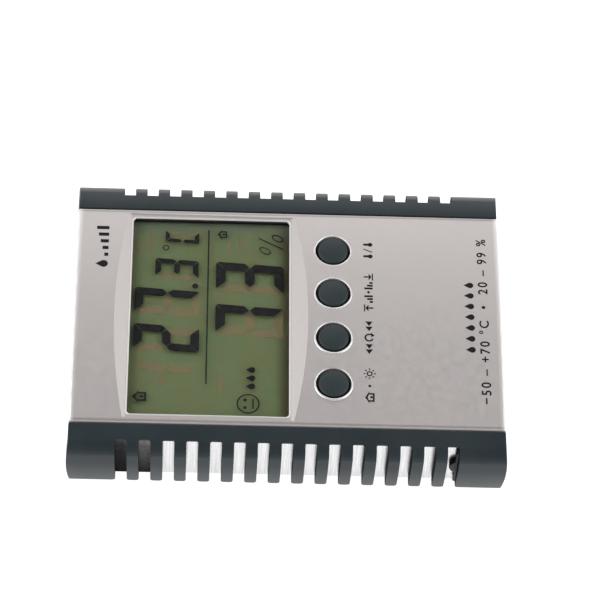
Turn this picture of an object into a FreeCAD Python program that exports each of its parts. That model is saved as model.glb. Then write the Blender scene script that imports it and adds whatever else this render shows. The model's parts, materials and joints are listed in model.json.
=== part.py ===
import FreeCAD, Part
import math
import os
from types import SimpleNamespace
import Sketcher

# A desk-top electronic thermometer and humidity meter that remembers its highest and lowest readings.
# It lies on its back. +Z is up, out of the face. +Y runs to the end above the display, and +X to the
# right rail. The origin is on the table, under the middle of the case.

Vector = FreeCAD.Vector

# ---------------------------------------------------------------- driving sizes, in mm
SIZES = {
    # case
    "panel_length": 120.0,
    "panel_width": 71.5,
    "crown_radius": 430.0,
    "panel_round": 0.6,
    "foot_standoff": 0.6,
    "shoulder_width": 4.8,
    "shoulder_skin": 1.8,
    "face_skin": 3.0,
    "case_wall": 2.0,
    "panel_side_wall": 1.75,
    # rails
    "rail_step": 0.1,
    "rail_skin": 1.0,
    "rail_reach": 9.0,
    "rail_foot_reach": 7.6,
    "rail_edge_radius": 3.2,
    "rail_belly_radius": 68.7,
    "rail_gap": 0.3,
    "rail_end_radius": 70.0,
    "rail_end_inset": 0.2,
    "bar_round": 0.9,
    "slot_count": 15,
    "slot_pitch": 6.5,
    "slot_width": 3.2,
    "notch_start": 5.2,
    "peg_width": 6.0,
    "peg_height": 2.5,
    "peg_z": 8.0,
    "peg_inset": 6.6,
    "nose_thick": 1.2,
    # display
    "window_width": 65.6,
    "window_length": 44.5,
    "window_top_margin": 15.8,
    "window_round": 1.0,
    "bezel_depth": 1.7,
    "bezel_width": 68.4,
    "rim_width": 0.5,
    "bevel_run_upper": 4.5,
    "bevel_run_lower": 5.3,
    "rim_skin": 0.6,
    "lens_thick": 0.9,
    "tape_thick": 0.1,
    "lcd_thick": 2.1,
    "lcd_gap": 0.1,
    "seat_margin": 1.8,
    "reflector_thick": 0.2,
    "frame_height": 2.7,
    "zebra_width": 1.8,
    # buttons
    "button_count": 4,
    "button_pitch": 14.87,
    "button_drop": 12.34,
    "button_hole": 9.86,
    "button_cap": 8.5,
    "button_rise": 0.35,
    "button_dome": 0.3,
    "cap_round": 0.6,
    "hole_round": 0.45,
    "flange_width": 11.6,
    "flange_thick": 0.8,
    "flange_gap": 0.2,
    "stem_width": 4.8,
    "stem_length": 1.2,
    "mat_thick": 0.8,
    # board
    "board_thick": 1.6,
    "board_margin": 1.95,
    "board_screw": 1.6,
    "board_boss": 4.4,
    "board_head": 3.4,
    # battery bay and door
    "cell_diameter": 10.5,
    "cell_length": 44.5,
    "cell_nub_length": 1.2,
    "cell_nub_width": 3.8,
    "bay_offset": 15.0,
    "bay_side_gap": 1.75,
    "bay_wall": 1.2,
    "bay_headroom": 2.0,
    "contact_room": 3.15,
    "contact_thick": 0.4,
    "contact_width": 2.8,
    "lead_diameter": 1.0,
    "door_width": 49.6,
    "door_tongue": 1.2,
    "door_gap": 0.2,
    # back cover and stand
    "cover_thick": 2.0,
    "cover_gap": 0.15,
    "stand_width": 27.8,
    "stand_length": 48.0,
    "stand_thick": 2.0,
    "stand_hinge_y": 22.0,
    "stand_barrel": 3.8,
    "stand_pin": 1.6,
    "pin_clearance": 0.05,
    "hanger_head": 8.0,
    "hanger_slot": 3.6,
    "hanger_y": 39.5,
    "hanger_rise": 6.5,
    "foot_diameter": 8.0,
    "foot_thick": 1.2,
    "case_screw": 2.0,
    "case_boss": 5.5,
    "case_head": 4.6,
    "screw_inset": 5.0,
    # sensors and probe socket
    "vent_length": 11.0,
    "vent_z": 4.0,
    "screen_thick": 0.2,
    "gland_hole": 4.2,
    "gland_bore": 2.2,
    "gland_x": -30.0,
    "gland_z": 9.0,
}

doc = FreeCAD.newDocument("Thermometer")
sheet = doc.addObject("Spreadsheet::Sheet", "Sizes")
for row, (alias, amount) in enumerate(SIZES.items(), start=1):
    sheet.set(f"A{row}", alias)
    sheet.set(f"B{row}", str(amount))
    sheet.setAlias(f"B{row}", alias)
doc.recompute()


class Size:
    """A length that also knows the spreadsheet expression it came from."""

    def __init__(self, value, text):
        self.value = value
        self.text = text

    def __add__(self, other):
        other = as_size(other)
        return Size(self.value + other.value, f"({self.text} + {other.text})")

    def __sub__(self, other):
        other = as_size(other)
        return Size(self.value - other.value, f"({self.text} - {other.text})")

    def __mul__(self, other):
        other = as_size(other)
        return Size(self.value * other.value, f"({self.text} * {other.text})")

    def __truediv__(self, other):
        other = as_size(other)
        return Size(self.value / other.value, f"({self.text} / {other.text})")

    def __radd__(self, other):
        return as_size(other) + self

    def __rsub__(self, other):
        return as_size(other) - self

    def __rmul__(self, other):
        return as_size(other) * self

    def __neg__(self):
        return as_size(0) - self


def as_size(number):
    if isinstance(number, Size):
        return number
    return Size(float(number), f"({float(number)})")


def root(size):
    return Size(math.sqrt(size.value), f"sqrt({size.text})")


d = SimpleNamespace(**{alias: Size(float(amount), f"Sizes.{alias}") for alias, amount in SIZES.items()})


def crown_drop(x):
    """How far the crowned face has fallen, at a distance x from its middle line."""
    return d.crown_radius - root(d.crown_radius * d.crown_radius - x * x)


# ---------------------------------------------------------------- levels and places that pieces share
half_length = d.panel_length / 2
half_panel = d.panel_width / 2
half_case = half_panel + d.shoulder_width
bottom_z = d.foot_standoff
cover_top_z = bottom_z + d.cover_thick
cell_z = cover_top_z + 0.3 + d.cell_diameter / 2
bay_roof_z = cell_z + d.cell_diameter / 2 + 0.8
bay_top_z = bay_roof_z + d.bay_wall
ceiling_z = bay_top_z + d.bay_headroom
crown_z = ceiling_z + d.face_skin
edge_z = crown_z - crown_drop(half_panel)
rail_top_z = edge_z - d.rail_step
shoulder_z = rail_top_z - d.rail_skin
shoulder_under_z = shoulder_z - d.shoulder_skin
rim_z = crown_z - d.bezel_depth
seat_z = rim_z - d.rim_skin
lens_top_z = seat_z - d.tape_thick
lens_under_z = lens_top_z - d.lens_thick
lcd_top_z = lens_under_z - d.lcd_gap
lcd_under_z = lcd_top_z - d.lcd_thick
board_top_z = lcd_under_z - d.frame_height
board_under_z = board_top_z - d.board_thick
vent_top_z = shoulder_under_z - 0.8

half_window = d.window_width / 2
window_top = half_length - d.window_top_margin
window_foot = window_top - d.window_length
window_y = (window_top + window_foot) / 2
half_seat = half_window + d.seat_margin
seat_length = d.window_length + 2 * d.seat_margin
button_y = window_foot - d.button_drop

cover_half_x = half_case - d.case_wall - d.cover_gap
cover_half_y = half_length - d.case_wall - d.cover_gap
bay_y = d.bay_offset - half_length
bay_half_y = d.cell_diameter / 2 + d.bay_side_gap
bay_half_x = d.cell_length / 2 + d.contact_room
door_half = d.door_width / 2
door_inner_end = bay_y + bay_half_y + 0.4
hinge_z = cover_top_z + 0.3
pin_length = d.stand_width + 5.4

board_half_x = half_panel - d.board_margin
board_upper_y = window_top + 7.3
board_lower_y = bay_y + bay_half_y + d.bay_wall + 2.8

screw_x = half_case - d.screw_inset - 0.3
screw_y = half_length - d.screw_inset
CASE_SCREWS = [(side * screw_x, end * screw_y) for side in (-1, 1) for end in (-1, 1)]
upper_boss_y = window_top + d.seat_margin + d.board_boss / 2 + 0.5
lower_boss_y = board_lower_y + 5
BOARD_SCREWS = [(side * (board_half_x - 6.9), upper_boss_y) for side in (-1, 1)]
BOARD_SCREWS += [(side * (board_half_x - 3.8), lower_boss_y) for side in (-1, 1)]
FEET = [(side * (cover_half_x - 9.15), half_length - 10) for side in (-1, 1)]
FEET += [(side * (door_half + d.door_tongue + 5.5), 16 - half_length) for side in (-1, 1)]


# ---------------------------------------------------------------- helpers
PARTS = []


def bind(feature, path, size):
    feature.setExpression(path, as_size(size).text)


def keep(feature, label):
    feature.Label = label
    PARTS.append(feature)
    return feature


def new_body(label):
    return keep(doc.addObject("PartDesign::Body", label), label)


def origin_feature(body, role):
    return next(feature for feature in body.Origin.OriginFeatures if feature.Role == role)


def new_sketch(body, role="XY_Plane", height=0):
    """An empty sketch on one of the body's own planes, lifted along the plane's normal."""
    sketch = body.newObject("Sketcher::SketchObject", body.Name + "_sketch")
    sketch.AttachmentSupport = (origin_feature(body, role), [""])
    sketch.MapMode = "FlatFace"
    bind(sketch, "AttachmentOffset.Base.z", height)
    return sketch


def constrain(sketch, kind, *places, size):
    """Adds one dimension to a sketch and ties it to the spreadsheet."""
    size = as_size(size)
    index = sketch.addConstraint(Sketcher.Constraint(kind, *places, size.value))
    sketch.setExpression(f"Constraints[{index}]", size.text)


def fix_point(sketch, geometry, position, x, y):
    constrain(sketch, "DistanceX", -1, 1, geometry, position, size=x)
    constrain(sketch, "DistanceY", -1, 1, geometry, position, size=y)


def arc_between(start, end, radius):
    """The arc of the given radius: to the left of the straight way if positive, else to the right."""
    middle = (start + end) * 0.5
    half = (end - start) * 0.5
    rise = math.sqrt(radius * radius - half.Length ** 2)
    side = Vector(-half.y, half.x, 0).normalize() * math.copysign(rise, radius)
    centre = middle + side
    first, last = (start, end) if radius > 0 else (end, start)
    angles = [math.atan2(point.y - centre.y, point.x - centre.x) for point in (first, last)]
    circle = Part.Circle(centre, Vector(0, 0, 1), abs(radius))
    return Part.ArcOfCircle(circle, angles[0], angles[1])


def add_outline(sketch, corners, arcs=None, closed=True):
    """Lines through the corners. arcs maps a corner's number to the radius of the arc that starts there."""
    arcs = arcs or {}
    points = [Vector(as_size(x).value, as_size(y).value, 0) for x, y in corners]
    sides = len(corners) if closed else len(corners) - 1
    ends = []
    for index in range(sides):
        start, end = points[index], points[(index + 1) % len(points)]
        if index in arcs:
            radius = as_size(arcs[index])
            geometry = sketch.addGeometry(arc_between(start, end, radius.value), False)
            first = 1 if radius.value > 0 else 2
            ends.append((geometry, first, 3 - first))
        else:
            geometry = sketch.addGeometry(Part.LineSegment(start, end), False)
            ends.append((geometry, 1, 2))
    for index in range(sides):
        geometry, first, last = ends[index]
        fix_point(sketch, geometry, first, *corners[index])
        following = (index + 1) % len(corners)
        if following < sides:
            sketch.addConstraint(Sketcher.Constraint("Coincident", geometry, last, *ends[following][:2]))
        else:
            fix_point(sketch, geometry, last, *corners[following])
    for index, radius in arcs.items():
        size = as_size(radius)
        size = size if size.value > 0 else -size
        constrain(sketch, "Radius", ends[index][0], size=size)


def add_box(sketch, x0, x1, y0, y1):
    add_outline(sketch, [(x0, y0), (x1, y0), (x1, y1), (x0, y1)])


def add_round_box(sketch, x0, x1, y0, y1, radius):
    corners = [
        (x0 + radius, y0), (x1 - radius, y0), (x1, y0 + radius), (x1, y1 - radius),
        (x1 - radius, y1), (x0 + radius, y1), (x0, y1 - radius), (x0, y0 + radius),
    ]
    add_outline(sketch, corners, {index: radius for index in (1, 3, 5, 7)})


def add_circle(sketch, x, y, diameter):
    size = as_size(diameter)
    centre = Vector(as_size(x).value, as_size(y).value, 0)
    geometry = sketch.addGeometry(Part.Circle(centre, Vector(0, 0, 1), size.value / 2), False)
    fix_point(sketch, geometry, 3, x, y)
    constrain(sketch, "Diameter", geometry, size=size)


def extrude(body, kind, sketch, length, both_ways=False, backwards=False):
    feature = body.newObject(kind, body.Name + "_" + kind.split("::")[1].lower())
    feature.Profile = sketch
    feature.SideType = "Symmetric" if both_ways else "One side"
    feature.Reversed = backwards
    bind(feature, "Length", length)
    sketch.Visibility = False
    return feature


def pad(body, sketch, length, both_ways=False, backwards=False):
    return extrude(body, "PartDesign::Pad", sketch, length, both_ways, backwards)


def pocket(body, sketch, length, both_ways=False, backwards=True):
    """Cuts along the sketch's normal, and stops the build if nothing was cut."""
    doc.recompute()
    before = body.Shape.Volume
    feature = extrude(body, "PartDesign::Pocket", sketch, length, both_ways, backwards)
    doc.recompute()
    if body.Shape.Volume > before - 1e-3:
        raise RuntimeError(f"{feature.Name} cuts nothing")
    return feature


def pad_boxes(body, z0, z1, *boxes):
    sketch = new_sketch(body, height=z0)
    for box in boxes:
        add_box(sketch, *box)
    return pad(body, sketch, z1 - z0)


def cut_boxes(body, z0, z1, *boxes):
    sketch = new_sketch(body, height=z0)
    for box in boxes:
        add_box(sketch, *box)
    return pocket(body, sketch, z1 - z0)


def pad_rounds(body, z0, z1, places, diameter):
    sketch = new_sketch(body, height=z0)
    for x, y in places:
        add_circle(sketch, x, y, diameter)
    return pad(body, sketch, z1 - z0)


def cut_rounds(body, z0, z1, places, diameter):
    sketch = new_sketch(body, height=z0)
    for x, y in places:
        add_circle(sketch, x, y, diameter)
    return pocket(body, sketch, z1 - z0)


def turn(body, corners, arcs=None, plane="XZ_Plane"):
    """A solid of revolution about the sketch's upright axis."""
    sketch = new_sketch(body, plane)
    add_outline(sketch, corners, arcs)
    feature = body.newObject("PartDesign::Revolution", body.Name + "_revolution")
    feature.Profile = sketch
    feature.ReferenceAxis = (sketch, ["V_Axis"])
    feature.Angle = 360
    sketch.Visibility = False
    return feature


def repeat_along(body, feature, role, length, count, backwards=False):
    pattern = body.newObject("PartDesign::LinearPattern", body.Name + "_pattern")
    pattern.Originals = [feature]
    pattern.Direction = (origin_feature(body, role), [""])
    pattern.Reversed = backwards
    bind(pattern, "Length", length)
    bind(pattern, "Occurrences", count)
    body.Tip = pattern
    return pattern


def mirror_in(body, features, role):
    mirrored = body.newObject("PartDesign::Mirrored", body.Name + "_mirrored")
    mirrored.Originals = features
    mirrored.MirrorPlane = (origin_feature(body, role), [""])
    body.Tip = mirrored
    return mirrored


def round_edges(body, chosen, radius):
    """Rounds every edge of the body for which chosen(edge) is true."""
    doc.recompute()
    base = body.Tip
    names = [f"Edge{n}" for n, edge in enumerate(base.Shape.Edges, start=1) if chosen(edge)]
    if not names:
        raise RuntimeError(f"{body.Label} has no such edges to round")
    fillet = body.newObject("PartDesign::Fillet", body.Name + "_fillet")
    fillet.Base = (base, names)
    bind(fillet, "Radius", radius)
    body.Tip = fillet
    doc.recompute()
    return fillet


def box_body(label, x0, x1, y0, y1, z0, z1):
    body = new_body(label)
    pad_boxes(body, z0, z1, (x0, x1, y0, y1))
    return body


def place(feature, x=0, y=0, z=0):
    bind(feature, "Placement.Base.x", x)
    bind(feature, "Placement.Base.y", y)
    bind(feature, "Placement.Base.z", z)
    return feature


def level(edge, z):
    box = edge.BoundBox
    return abs(box.ZMin - z.value) < 1e-3 and abs(box.ZMax - z.value) < 1e-3


def runs_along(edge, axis):
    """True for a straight edge along X (0), Y (1) or Z (2)."""
    if edge.Curve.TypeId != "Part::GeomLine":
        return False
    return abs(edge.tangentAt(edge.FirstParameter)[axis]) > 0.999


# ---------------------------------------------------------------- case
def make_front_shell():
    """Silver moulding: the crowned face, a shoulder each side under the rails, and four side walls."""
    body = new_body("front_shell")
    sketch = new_sketch(body, "XZ_Plane")
    corners = [
        (-half_case, bottom_z), (half_case, bottom_z), (half_case, shoulder_z), (half_panel, shoulder_z),
        (half_panel, edge_z), (-half_panel, edge_z), (-half_panel, shoulder_z), (-half_case, shoulder_z),
    ]
    add_outline(sketch, corners, {4: d.crown_radius})
    pad(body, sketch, d.panel_length, both_ways=True)

    inner_x = half_case - d.case_wall
    inner_y = half_length - d.case_wall
    upper_x = half_panel - d.panel_side_wall
    cut_boxes(body, bottom_z, shoulder_under_z, (-inner_x, inner_x, -inner_y, inner_y))
    cut_boxes(body, bottom_z, ceiling_z, (-upper_x, upper_x, -inner_y, inner_y))
    seat_half_y = seat_length / 2
    cut_boxes(body, bottom_z, seat_z, (-half_seat, half_seat, window_y - seat_half_y, window_y + seat_half_y))

    bezel = new_sketch(body, "YZ_Plane")
    above = crown_z + 0.5
    upper_y = window_top + d.bevel_run_upper
    lower_y = window_foot - d.bevel_run_lower
    add_outline(bezel, [
        (window_foot - d.rim_width, rim_z), (window_top + d.rim_width, rim_z),
        (upper_y, crown_z), (upper_y, above), (lower_y, above), (lower_y, crown_z),
    ])
    pocket(body, bezel, d.bezel_width, both_ways=True)

    window = new_sketch(body, height=ceiling_z)
    add_round_box(window, -half_window, half_window, window_foot, window_top, d.window_round)
    pocket(body, window, d.face_skin + 0.5)

    first = -(d.button_count - 1) / 2 * d.button_pitch
    hole = cut_rounds(body, shoulder_under_z, crown_z + 0.5, [(first, button_y)], d.button_hole)
    repeat_along(body, hole, "X_Axis", (d.button_count - 1) * d.button_pitch, d.button_count)

    def hole_rim(edge):
        box = edge.BoundBox
        wide = abs(box.XLength - d.button_hole.value) < 0.05
        return wide and box.ZMin > ceiling_z.value + 0.5

    round_edges(body, hole_rim, d.hole_round)

    def panel_edge(edge):
        box = edge.BoundBox
        end_arc = box.XLength > d.panel_width.value - 2 and box.ZMin > edge_z.value - 1e-3
        side = runs_along(edge, 1) and level(edge, edge_z) and box.YLength > d.panel_length.value / 2
        return end_arc or side

    round_edges(body, panel_edge, d.panel_round)

    # the wall by the sensors is open under the first two rail slots
    outside = half_case + 1
    inside = half_case - d.case_wall - 0.5
    vent_y = (d.slot_count - 2) / 2 * d.slot_pitch
    cut_boxes(body, d.vent_z, vent_top_z,
              (-outside, -inside, vent_y - d.vent_length / 2, vent_y + d.vent_length / 2))

    # windows for the rails' pegs
    peg_y = half_length - d.peg_inset
    peg_half = d.peg_width / 2 + d.cover_gap
    windows = [
        (low, high, end * peg_y - peg_half, end * peg_y + peg_half)
        for low, high in ((-outside, -inside), (inside, outside)) for end in (-1, 1)
    ]
    cut_boxes(body, d.peg_z - d.cover_gap, d.peg_z + d.peg_height + d.cover_gap, *windows)

    # the battery door leaves through a notch in the lower end wall
    notch = door_half + d.door_tongue + 2 * d.door_gap
    cut_boxes(body, bottom_z, cover_top_z + d.door_gap, (-notch, notch, -half_length - 1, -inner_y + 1))

    gland = new_sketch(body, "XZ_Plane", height=inner_y - 1)
    add_circle(gland, d.gland_x, d.gland_z, d.gland_hole)
    pocket(body, gland, d.case_wall + 2)

    pad_rounds(body, cover_top_z, shoulder_under_z + 0.5, CASE_SCREWS, d.case_boss)
    cut_rounds(body, cover_top_z, cover_top_z + 10, CASE_SCREWS, d.case_screw + 0.1)
    pad_rounds(body, board_top_z, ceiling_z + 0.5, BOARD_SCREWS, d.board_boss)
    cut_rounds(body, board_top_z, board_top_z + 4.2, BOARD_SCREWS, d.board_screw + 0.1)
    return body


def make_rails():
    """Slotted side rails: a top strip over the case's shoulder, with bars that hang down beside it."""
    body = new_body("right_rail")
    inner_x = half_panel + d.rail_gap
    bar_x = half_case + d.rail_gap
    outer_x = half_panel + d.rail_reach
    foot_x = half_panel + d.rail_foot_reach
    knee_z = rail_top_z - d.rail_edge_radius
    section = new_sketch(body, "XZ_Plane")
    corners = [
        (bar_x, bottom_z), (foot_x, bottom_z), (outer_x, knee_z), (outer_x - d.rail_edge_radius, rail_top_z),
        (inner_x, rail_top_z), (inner_x, shoulder_z), (bar_x, shoulder_z),
    ]
    add_outline(section, corners, {1: d.rail_belly_radius, 2: d.rail_edge_radius})
    pad(body, section, d.panel_length + 4, both_ways=True)

    # bowed ends
    ends = new_sketch(body, "YZ_Plane")
    arc_y = half_length - d.rail_end_inset
    corners = [
        (arc_y, rail_top_z + 1), (arc_y, bottom_z - 1),
        (half_length + 4, bottom_z - 1), (half_length + 4, rail_top_z + 1),
    ]
    add_outline(ends, corners, {0: -d.rail_end_radius})
    end_cut = pocket(body, ends, 2 * outer_x + 4, both_ways=True)
    mirror_in(body, [end_cut], "XZ_Plane")

    # slots, from the upper end down
    slot_x = half_panel + d.notch_start
    first = (d.slot_count - 1) / 2 * d.slot_pitch
    slot = cut_boxes(body, bottom_z - 1, rail_top_z + 1,
                     (slot_x, outer_x + 2, first - d.slot_width / 2, first + d.slot_width / 2))
    repeat_along(body, slot, "Y_Axis", (d.slot_count - 1) * d.slot_pitch, d.slot_count, backwards=True)

    # below the shoulder the slots reach through to the case wall, so that air gets to the vent
    window = cut_boxes(body, bottom_z - 1, shoulder_z,
                       (bar_x - 1, slot_x + 0.1, first - d.slot_width / 2, first + d.slot_width / 2))
    repeat_along(body, window, "Y_Axis", (d.slot_count - 1) * d.slot_pitch, d.slot_count, backwards=True)

    def bar_corner(edge):
        inside = abs(edge.BoundBox.YMax) < half_length.value - 5
        return runs_along(edge, 0) and level(edge, bottom_z) and inside

    round_edges(body, bar_corner, d.bar_round)

    # pegs that pass through the case wall
    peg_y = half_length - d.peg_inset
    tip_x = half_case - d.case_wall + 0.6
    pegs = [
        (tip_x, bar_x + 0.5, end * peg_y - d.peg_width / 2, end * peg_y + d.peg_width / 2)
        for end in (-1, 1)
    ]
    pad_boxes(body, d.peg_z, d.peg_z + d.peg_height, *pegs)

    # catch nose beside the last slot
    nose = new_sketch(body, "YZ_Plane", height=bar_x)
    side_y = -first - d.slot_width / 2
    reach_y = side_y + 0.7
    middle_z = (bottom_z + shoulder_z) / 2
    corners = [
        (side_y - 1, bottom_z + 1.2), (reach_y, bottom_z + 1.2), (reach_y, middle_z - 2.6),
        (reach_y, middle_z + 2.6), (reach_y, shoulder_z - 1.6), (side_y - 1, shoulder_z - 1.6),
    ]
    add_outline(nose, corners, {2: 3.0})
    pad(body, nose, d.nose_thick)

    left = keep(doc.addObject("Part::Mirroring", "left_rail"), "left_rail")
    left.Source = body
    left.Normal = Vector(1, 0, 0)
    return body, left


def make_rear_cover():
    """Back plate with the battery bay, the stand's recess and hinge, the keyhole hanger and the screw holes."""
    body = new_body("rear_cover")
    pad_boxes(body, bottom_z, cover_top_z, (-cover_half_x, cover_half_x, -cover_half_y, cover_half_y))

    bay_out_x = bay_half_x + d.bay_wall
    bay_out_y = bay_half_y + d.bay_wall
    pad_boxes(body, cover_top_z, bay_top_z, (-bay_out_x, bay_out_x, bay_y - bay_out_y, bay_y + bay_out_y))
    groove_half = door_half + d.door_tongue + d.door_gap
    pad_boxes(body, cover_top_z, cover_top_z + d.bay_wall,
              (-groove_half - 1, groove_half + 1, -cover_half_y, bay_y - bay_out_y + 0.5))

    stand_half = d.stand_width / 2 + 0.5
    recess_foot = d.stand_hinge_y - d.stand_length - 0.6
    recess_head = d.stand_hinge_y + d.stand_barrel / 2 + 0.7
    hinge_foot = d.stand_hinge_y - d.stand_barrel / 2 - 0.7
    recess_top = cover_top_z + 0.8
    hinge_top = hinge_z + d.stand_barrel / 2 + 0.4
    pin_hole_length = pin_length + 0.4
    ear_x = pin_hole_length / 2 + 0.8
    pad_boxes(body, cover_top_z, recess_top + d.bay_wall,
              (-stand_half - 1.2, stand_half + 1.2, recess_foot - 1.2, recess_head + 1.2))
    pad_boxes(body, cover_top_z, hinge_top + d.bay_wall,
              (-ear_x, ear_x, hinge_foot - 1.2, recess_head + 1.2))

    hanger_half = d.hanger_head / 2
    hanger_box = (-hanger_half - 2.4, hanger_half + 2.4,
                  d.hanger_y - hanger_half - 1.6, d.hanger_y + hanger_half + d.hanger_rise + 0.4)
    pad_boxes(body, cover_top_z, cover_top_z + 5, hanger_box)
    cut_boxes(body, cover_top_z, cover_top_z + 3.8,
              (hanger_box[0] + 1.2, hanger_box[1] - 1.2, hanger_box[2] + 1.2, hanger_box[3] - 1.2))
    cut_rounds(body, bottom_z - 0.5, cover_top_z + 0.1, [(0, d.hanger_y)], d.hanger_head)
    slot = new_sketch(body, height=bottom_z - 0.5)
    half_slot = d.hanger_slot / 2
    slot_end = d.hanger_y + d.hanger_rise
    corners = [
        (-half_slot, d.hanger_y + 1), (half_slot, d.hanger_y + 1), (half_slot, slot_end), (-half_slot, slot_end),
    ]
    add_outline(slot, corners, {2: half_slot + 0.01})
    pocket(body, slot, d.cover_thick + 0.6)

    cut_boxes(body, bottom_z - 0.5, bay_roof_z,
              (-bay_half_x, bay_half_x, bay_y - bay_half_y, bay_y + bay_half_y))
    lip_z = bottom_z + d.cover_thick * 0.4
    door_open = door_half + d.door_gap
    end_y = -cover_half_y - 1
    cut_boxes(body, bottom_z - 0.5, lip_z, (-door_open, door_open, end_y, door_inner_end + d.door_gap))
    cut_boxes(body, lip_z, cover_top_z, (-groove_half, groove_half, end_y, door_inner_end + d.door_gap))
    tab_x = bay_half_x - d.contact_thick - 0.1
    half_tab = d.contact_width / 2 + d.door_gap
    cut_boxes(body, bay_roof_z - 0.1, bay_top_z + 0.1,
              (-bay_half_x, -tab_x, bay_y - half_tab, bay_y + half_tab),
              (tab_x, bay_half_x, bay_y - half_tab, bay_y + half_tab))

    cut_boxes(body, bottom_z - 0.5, recess_top, (-stand_half, stand_half, recess_foot, recess_head))
    cut_boxes(body, recess_top - 0.1, hinge_top, (-stand_half, stand_half, hinge_foot, recess_head))
    pin_hole = new_sketch(body, "YZ_Plane")
    add_circle(pin_hole, d.stand_hinge_y, hinge_z, d.stand_pin + d.pin_clearance)
    pocket(body, pin_hole, pin_hole_length, both_ways=True)

    cut_rounds(body, bottom_z - 0.5, bottom_z + d.foot_thick - d.foot_standoff, FEET, d.foot_diameter + 0.2)
    cut_rounds(body, bottom_z - 0.5, bottom_z + 1.3, CASE_SCREWS, d.case_head + 0.5)
    cut_rounds(body, bottom_z, cover_top_z + 0.1, CASE_SCREWS, d.case_screw + 0.6)
    return body


def make_battery_door():
    """Sliding door: a plate between the cover's lips, with a tongue down each side in the cover's groove."""
    body = new_body("battery_door")
    end_y = -half_length
    step_z = bottom_z + d.cover_thick * 0.4 + 0.1
    outer_z = bottom_z + 0.1
    top_z = cover_top_z - d.door_gap
    tongue = door_half + d.door_tongue
    pad_boxes(body, outer_z, step_z, (-door_half, door_half, end_y, door_inner_end))
    pad_boxes(body, step_z, top_z, (-tongue, tongue, end_y, door_inner_end))
    grip = cut_boxes(body, outer_z - 0.5, outer_z + 0.35, (-9, 9, end_y + 3, end_y + 4))
    repeat_along(body, grip, "Y_Axis", 8, 5)
    return body


def make_stand():
    """Fold-out stand: a flat leg with a barrel that turns on a steel pin."""
    body = new_body("stand")
    half = d.stand_width / 2
    foot_y = d.stand_hinge_y - d.stand_length
    low_z = hinge_z - d.stand_thick
    leg = new_sketch(body, height=low_z)
    notch = as_size(5)
    corners = [
        (-half + 3, foot_y), (-notch, foot_y), (notch, foot_y), (half - 3, foot_y),
        (half, foot_y + 3), (half, d.stand_hinge_y), (-half, d.stand_hinge_y), (-half, foot_y + 3),
    ]
    add_outline(leg, corners, {1: -6.0, 3: 3.0, 7: 3.0})
    pad(body, leg, d.stand_thick)
    barrel = new_sketch(body, "YZ_Plane")
    add_circle(barrel, d.stand_hinge_y, hinge_z, d.stand_barrel)
    pad(body, barrel, d.stand_width, both_ways=True)
    rib = cut_boxes(body, low_z - 0.5, low_z + 0.5, (-half + 4, half - 4, foot_y + 8, foot_y + 9.2))
    repeat_along(body, rib, "Y_Axis", 9, 4)
    bore = new_sketch(body, "YZ_Plane")
    add_circle(bore, d.stand_hinge_y, hinge_z, d.stand_pin + 2 * d.pin_clearance)
    pocket(body, bore, d.stand_width + 2, both_ways=True)

    pin = new_body("stand_pin")
    rod = new_sketch(pin, "YZ_Plane")
    add_circle(rod, d.stand_hinge_y, hinge_z, d.stand_pin)
    pad(pin, rod, pin_length, both_ways=True)
    return body, pin


# ---------------------------------------------------------------- display
def make_display():
    """Clear window, its tape, the liquid-crystal panel and what holds and feeds it."""
    lens_x = half_seat - 0.2
    lens_y0 = window_foot - d.seat_margin + 0.2
    lens_y1 = window_top + d.seat_margin - 0.2
    lens = new_body("display_window")
    sketch = new_sketch(lens, height=lens_under_z)
    add_round_box(sketch, -lens_x, lens_x, lens_y0, lens_y1, d.window_round)
    pad(lens, sketch, d.lens_thick)

    tape = new_body("window_tape")
    sketch = new_sketch(tape, height=lens_top_z)
    add_round_box(sketch, -lens_x, lens_x, lens_y0, lens_y1, d.window_round)
    inner_x = half_window + 0.3
    add_round_box(sketch, -inner_x, inner_x, window_foot - 0.3, window_top + 0.3, d.window_round)
    pad(tape, sketch, d.tape_thick)

    panel_x = lens_x - 0.2
    glass_y0 = lens_y0 + 0.2
    glass_y1 = lens_y1 - 0.2
    ledge = d.seat_margin - 0.6
    panel = box_body("lcd_panel", -panel_x, panel_x, glass_y0, glass_y1,
                     lcd_under_z + d.lcd_thick / 2, lcd_top_z)
    pad_boxes(panel, lcd_under_z, lcd_under_z + d.lcd_thick / 2,
              (-panel_x, panel_x, glass_y0 + ledge / 4, glass_y1 - ledge / 4))

    frame = new_body("lcd_frame")
    opening_x = panel_x - 2.7
    opening_y0 = glass_y0 + 4.7
    opening_y1 = glass_y1 - 4.7
    slot_half = d.zebra_width / 2 + 0.1
    strip_x = opening_x - 1.5
    upper_strip = glass_y1 - 2
    lower_strip = glass_y0 + 2
    sketch = new_sketch(frame, height=board_top_z)
    add_box(sketch, -panel_x, panel_x, glass_y0, glass_y1)
    add_box(sketch, -opening_x, opening_x, opening_y0, opening_y1)
    for strip_y in (lower_strip, upper_strip):
        add_box(sketch, -strip_x - 0.2, strip_x + 0.2, strip_y - slot_half, strip_y + slot_half)
    pad(frame, sketch, d.frame_height)

    box_body("lcd_reflector", -opening_x + 0.2, opening_x - 0.2, opening_y0 + 0.2, opening_y1 - 0.2,
             lcd_under_z - d.reflector_thick, lcd_under_z)
    for label, strip_y in (("zebra_strip_upper", upper_strip), ("zebra_strip_lower", lower_strip)):
        box_body(label, -strip_x, strip_x, strip_y - d.zebra_width / 2, strip_y + d.zebra_width / 2,
                 board_top_z, lcd_under_z)


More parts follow.
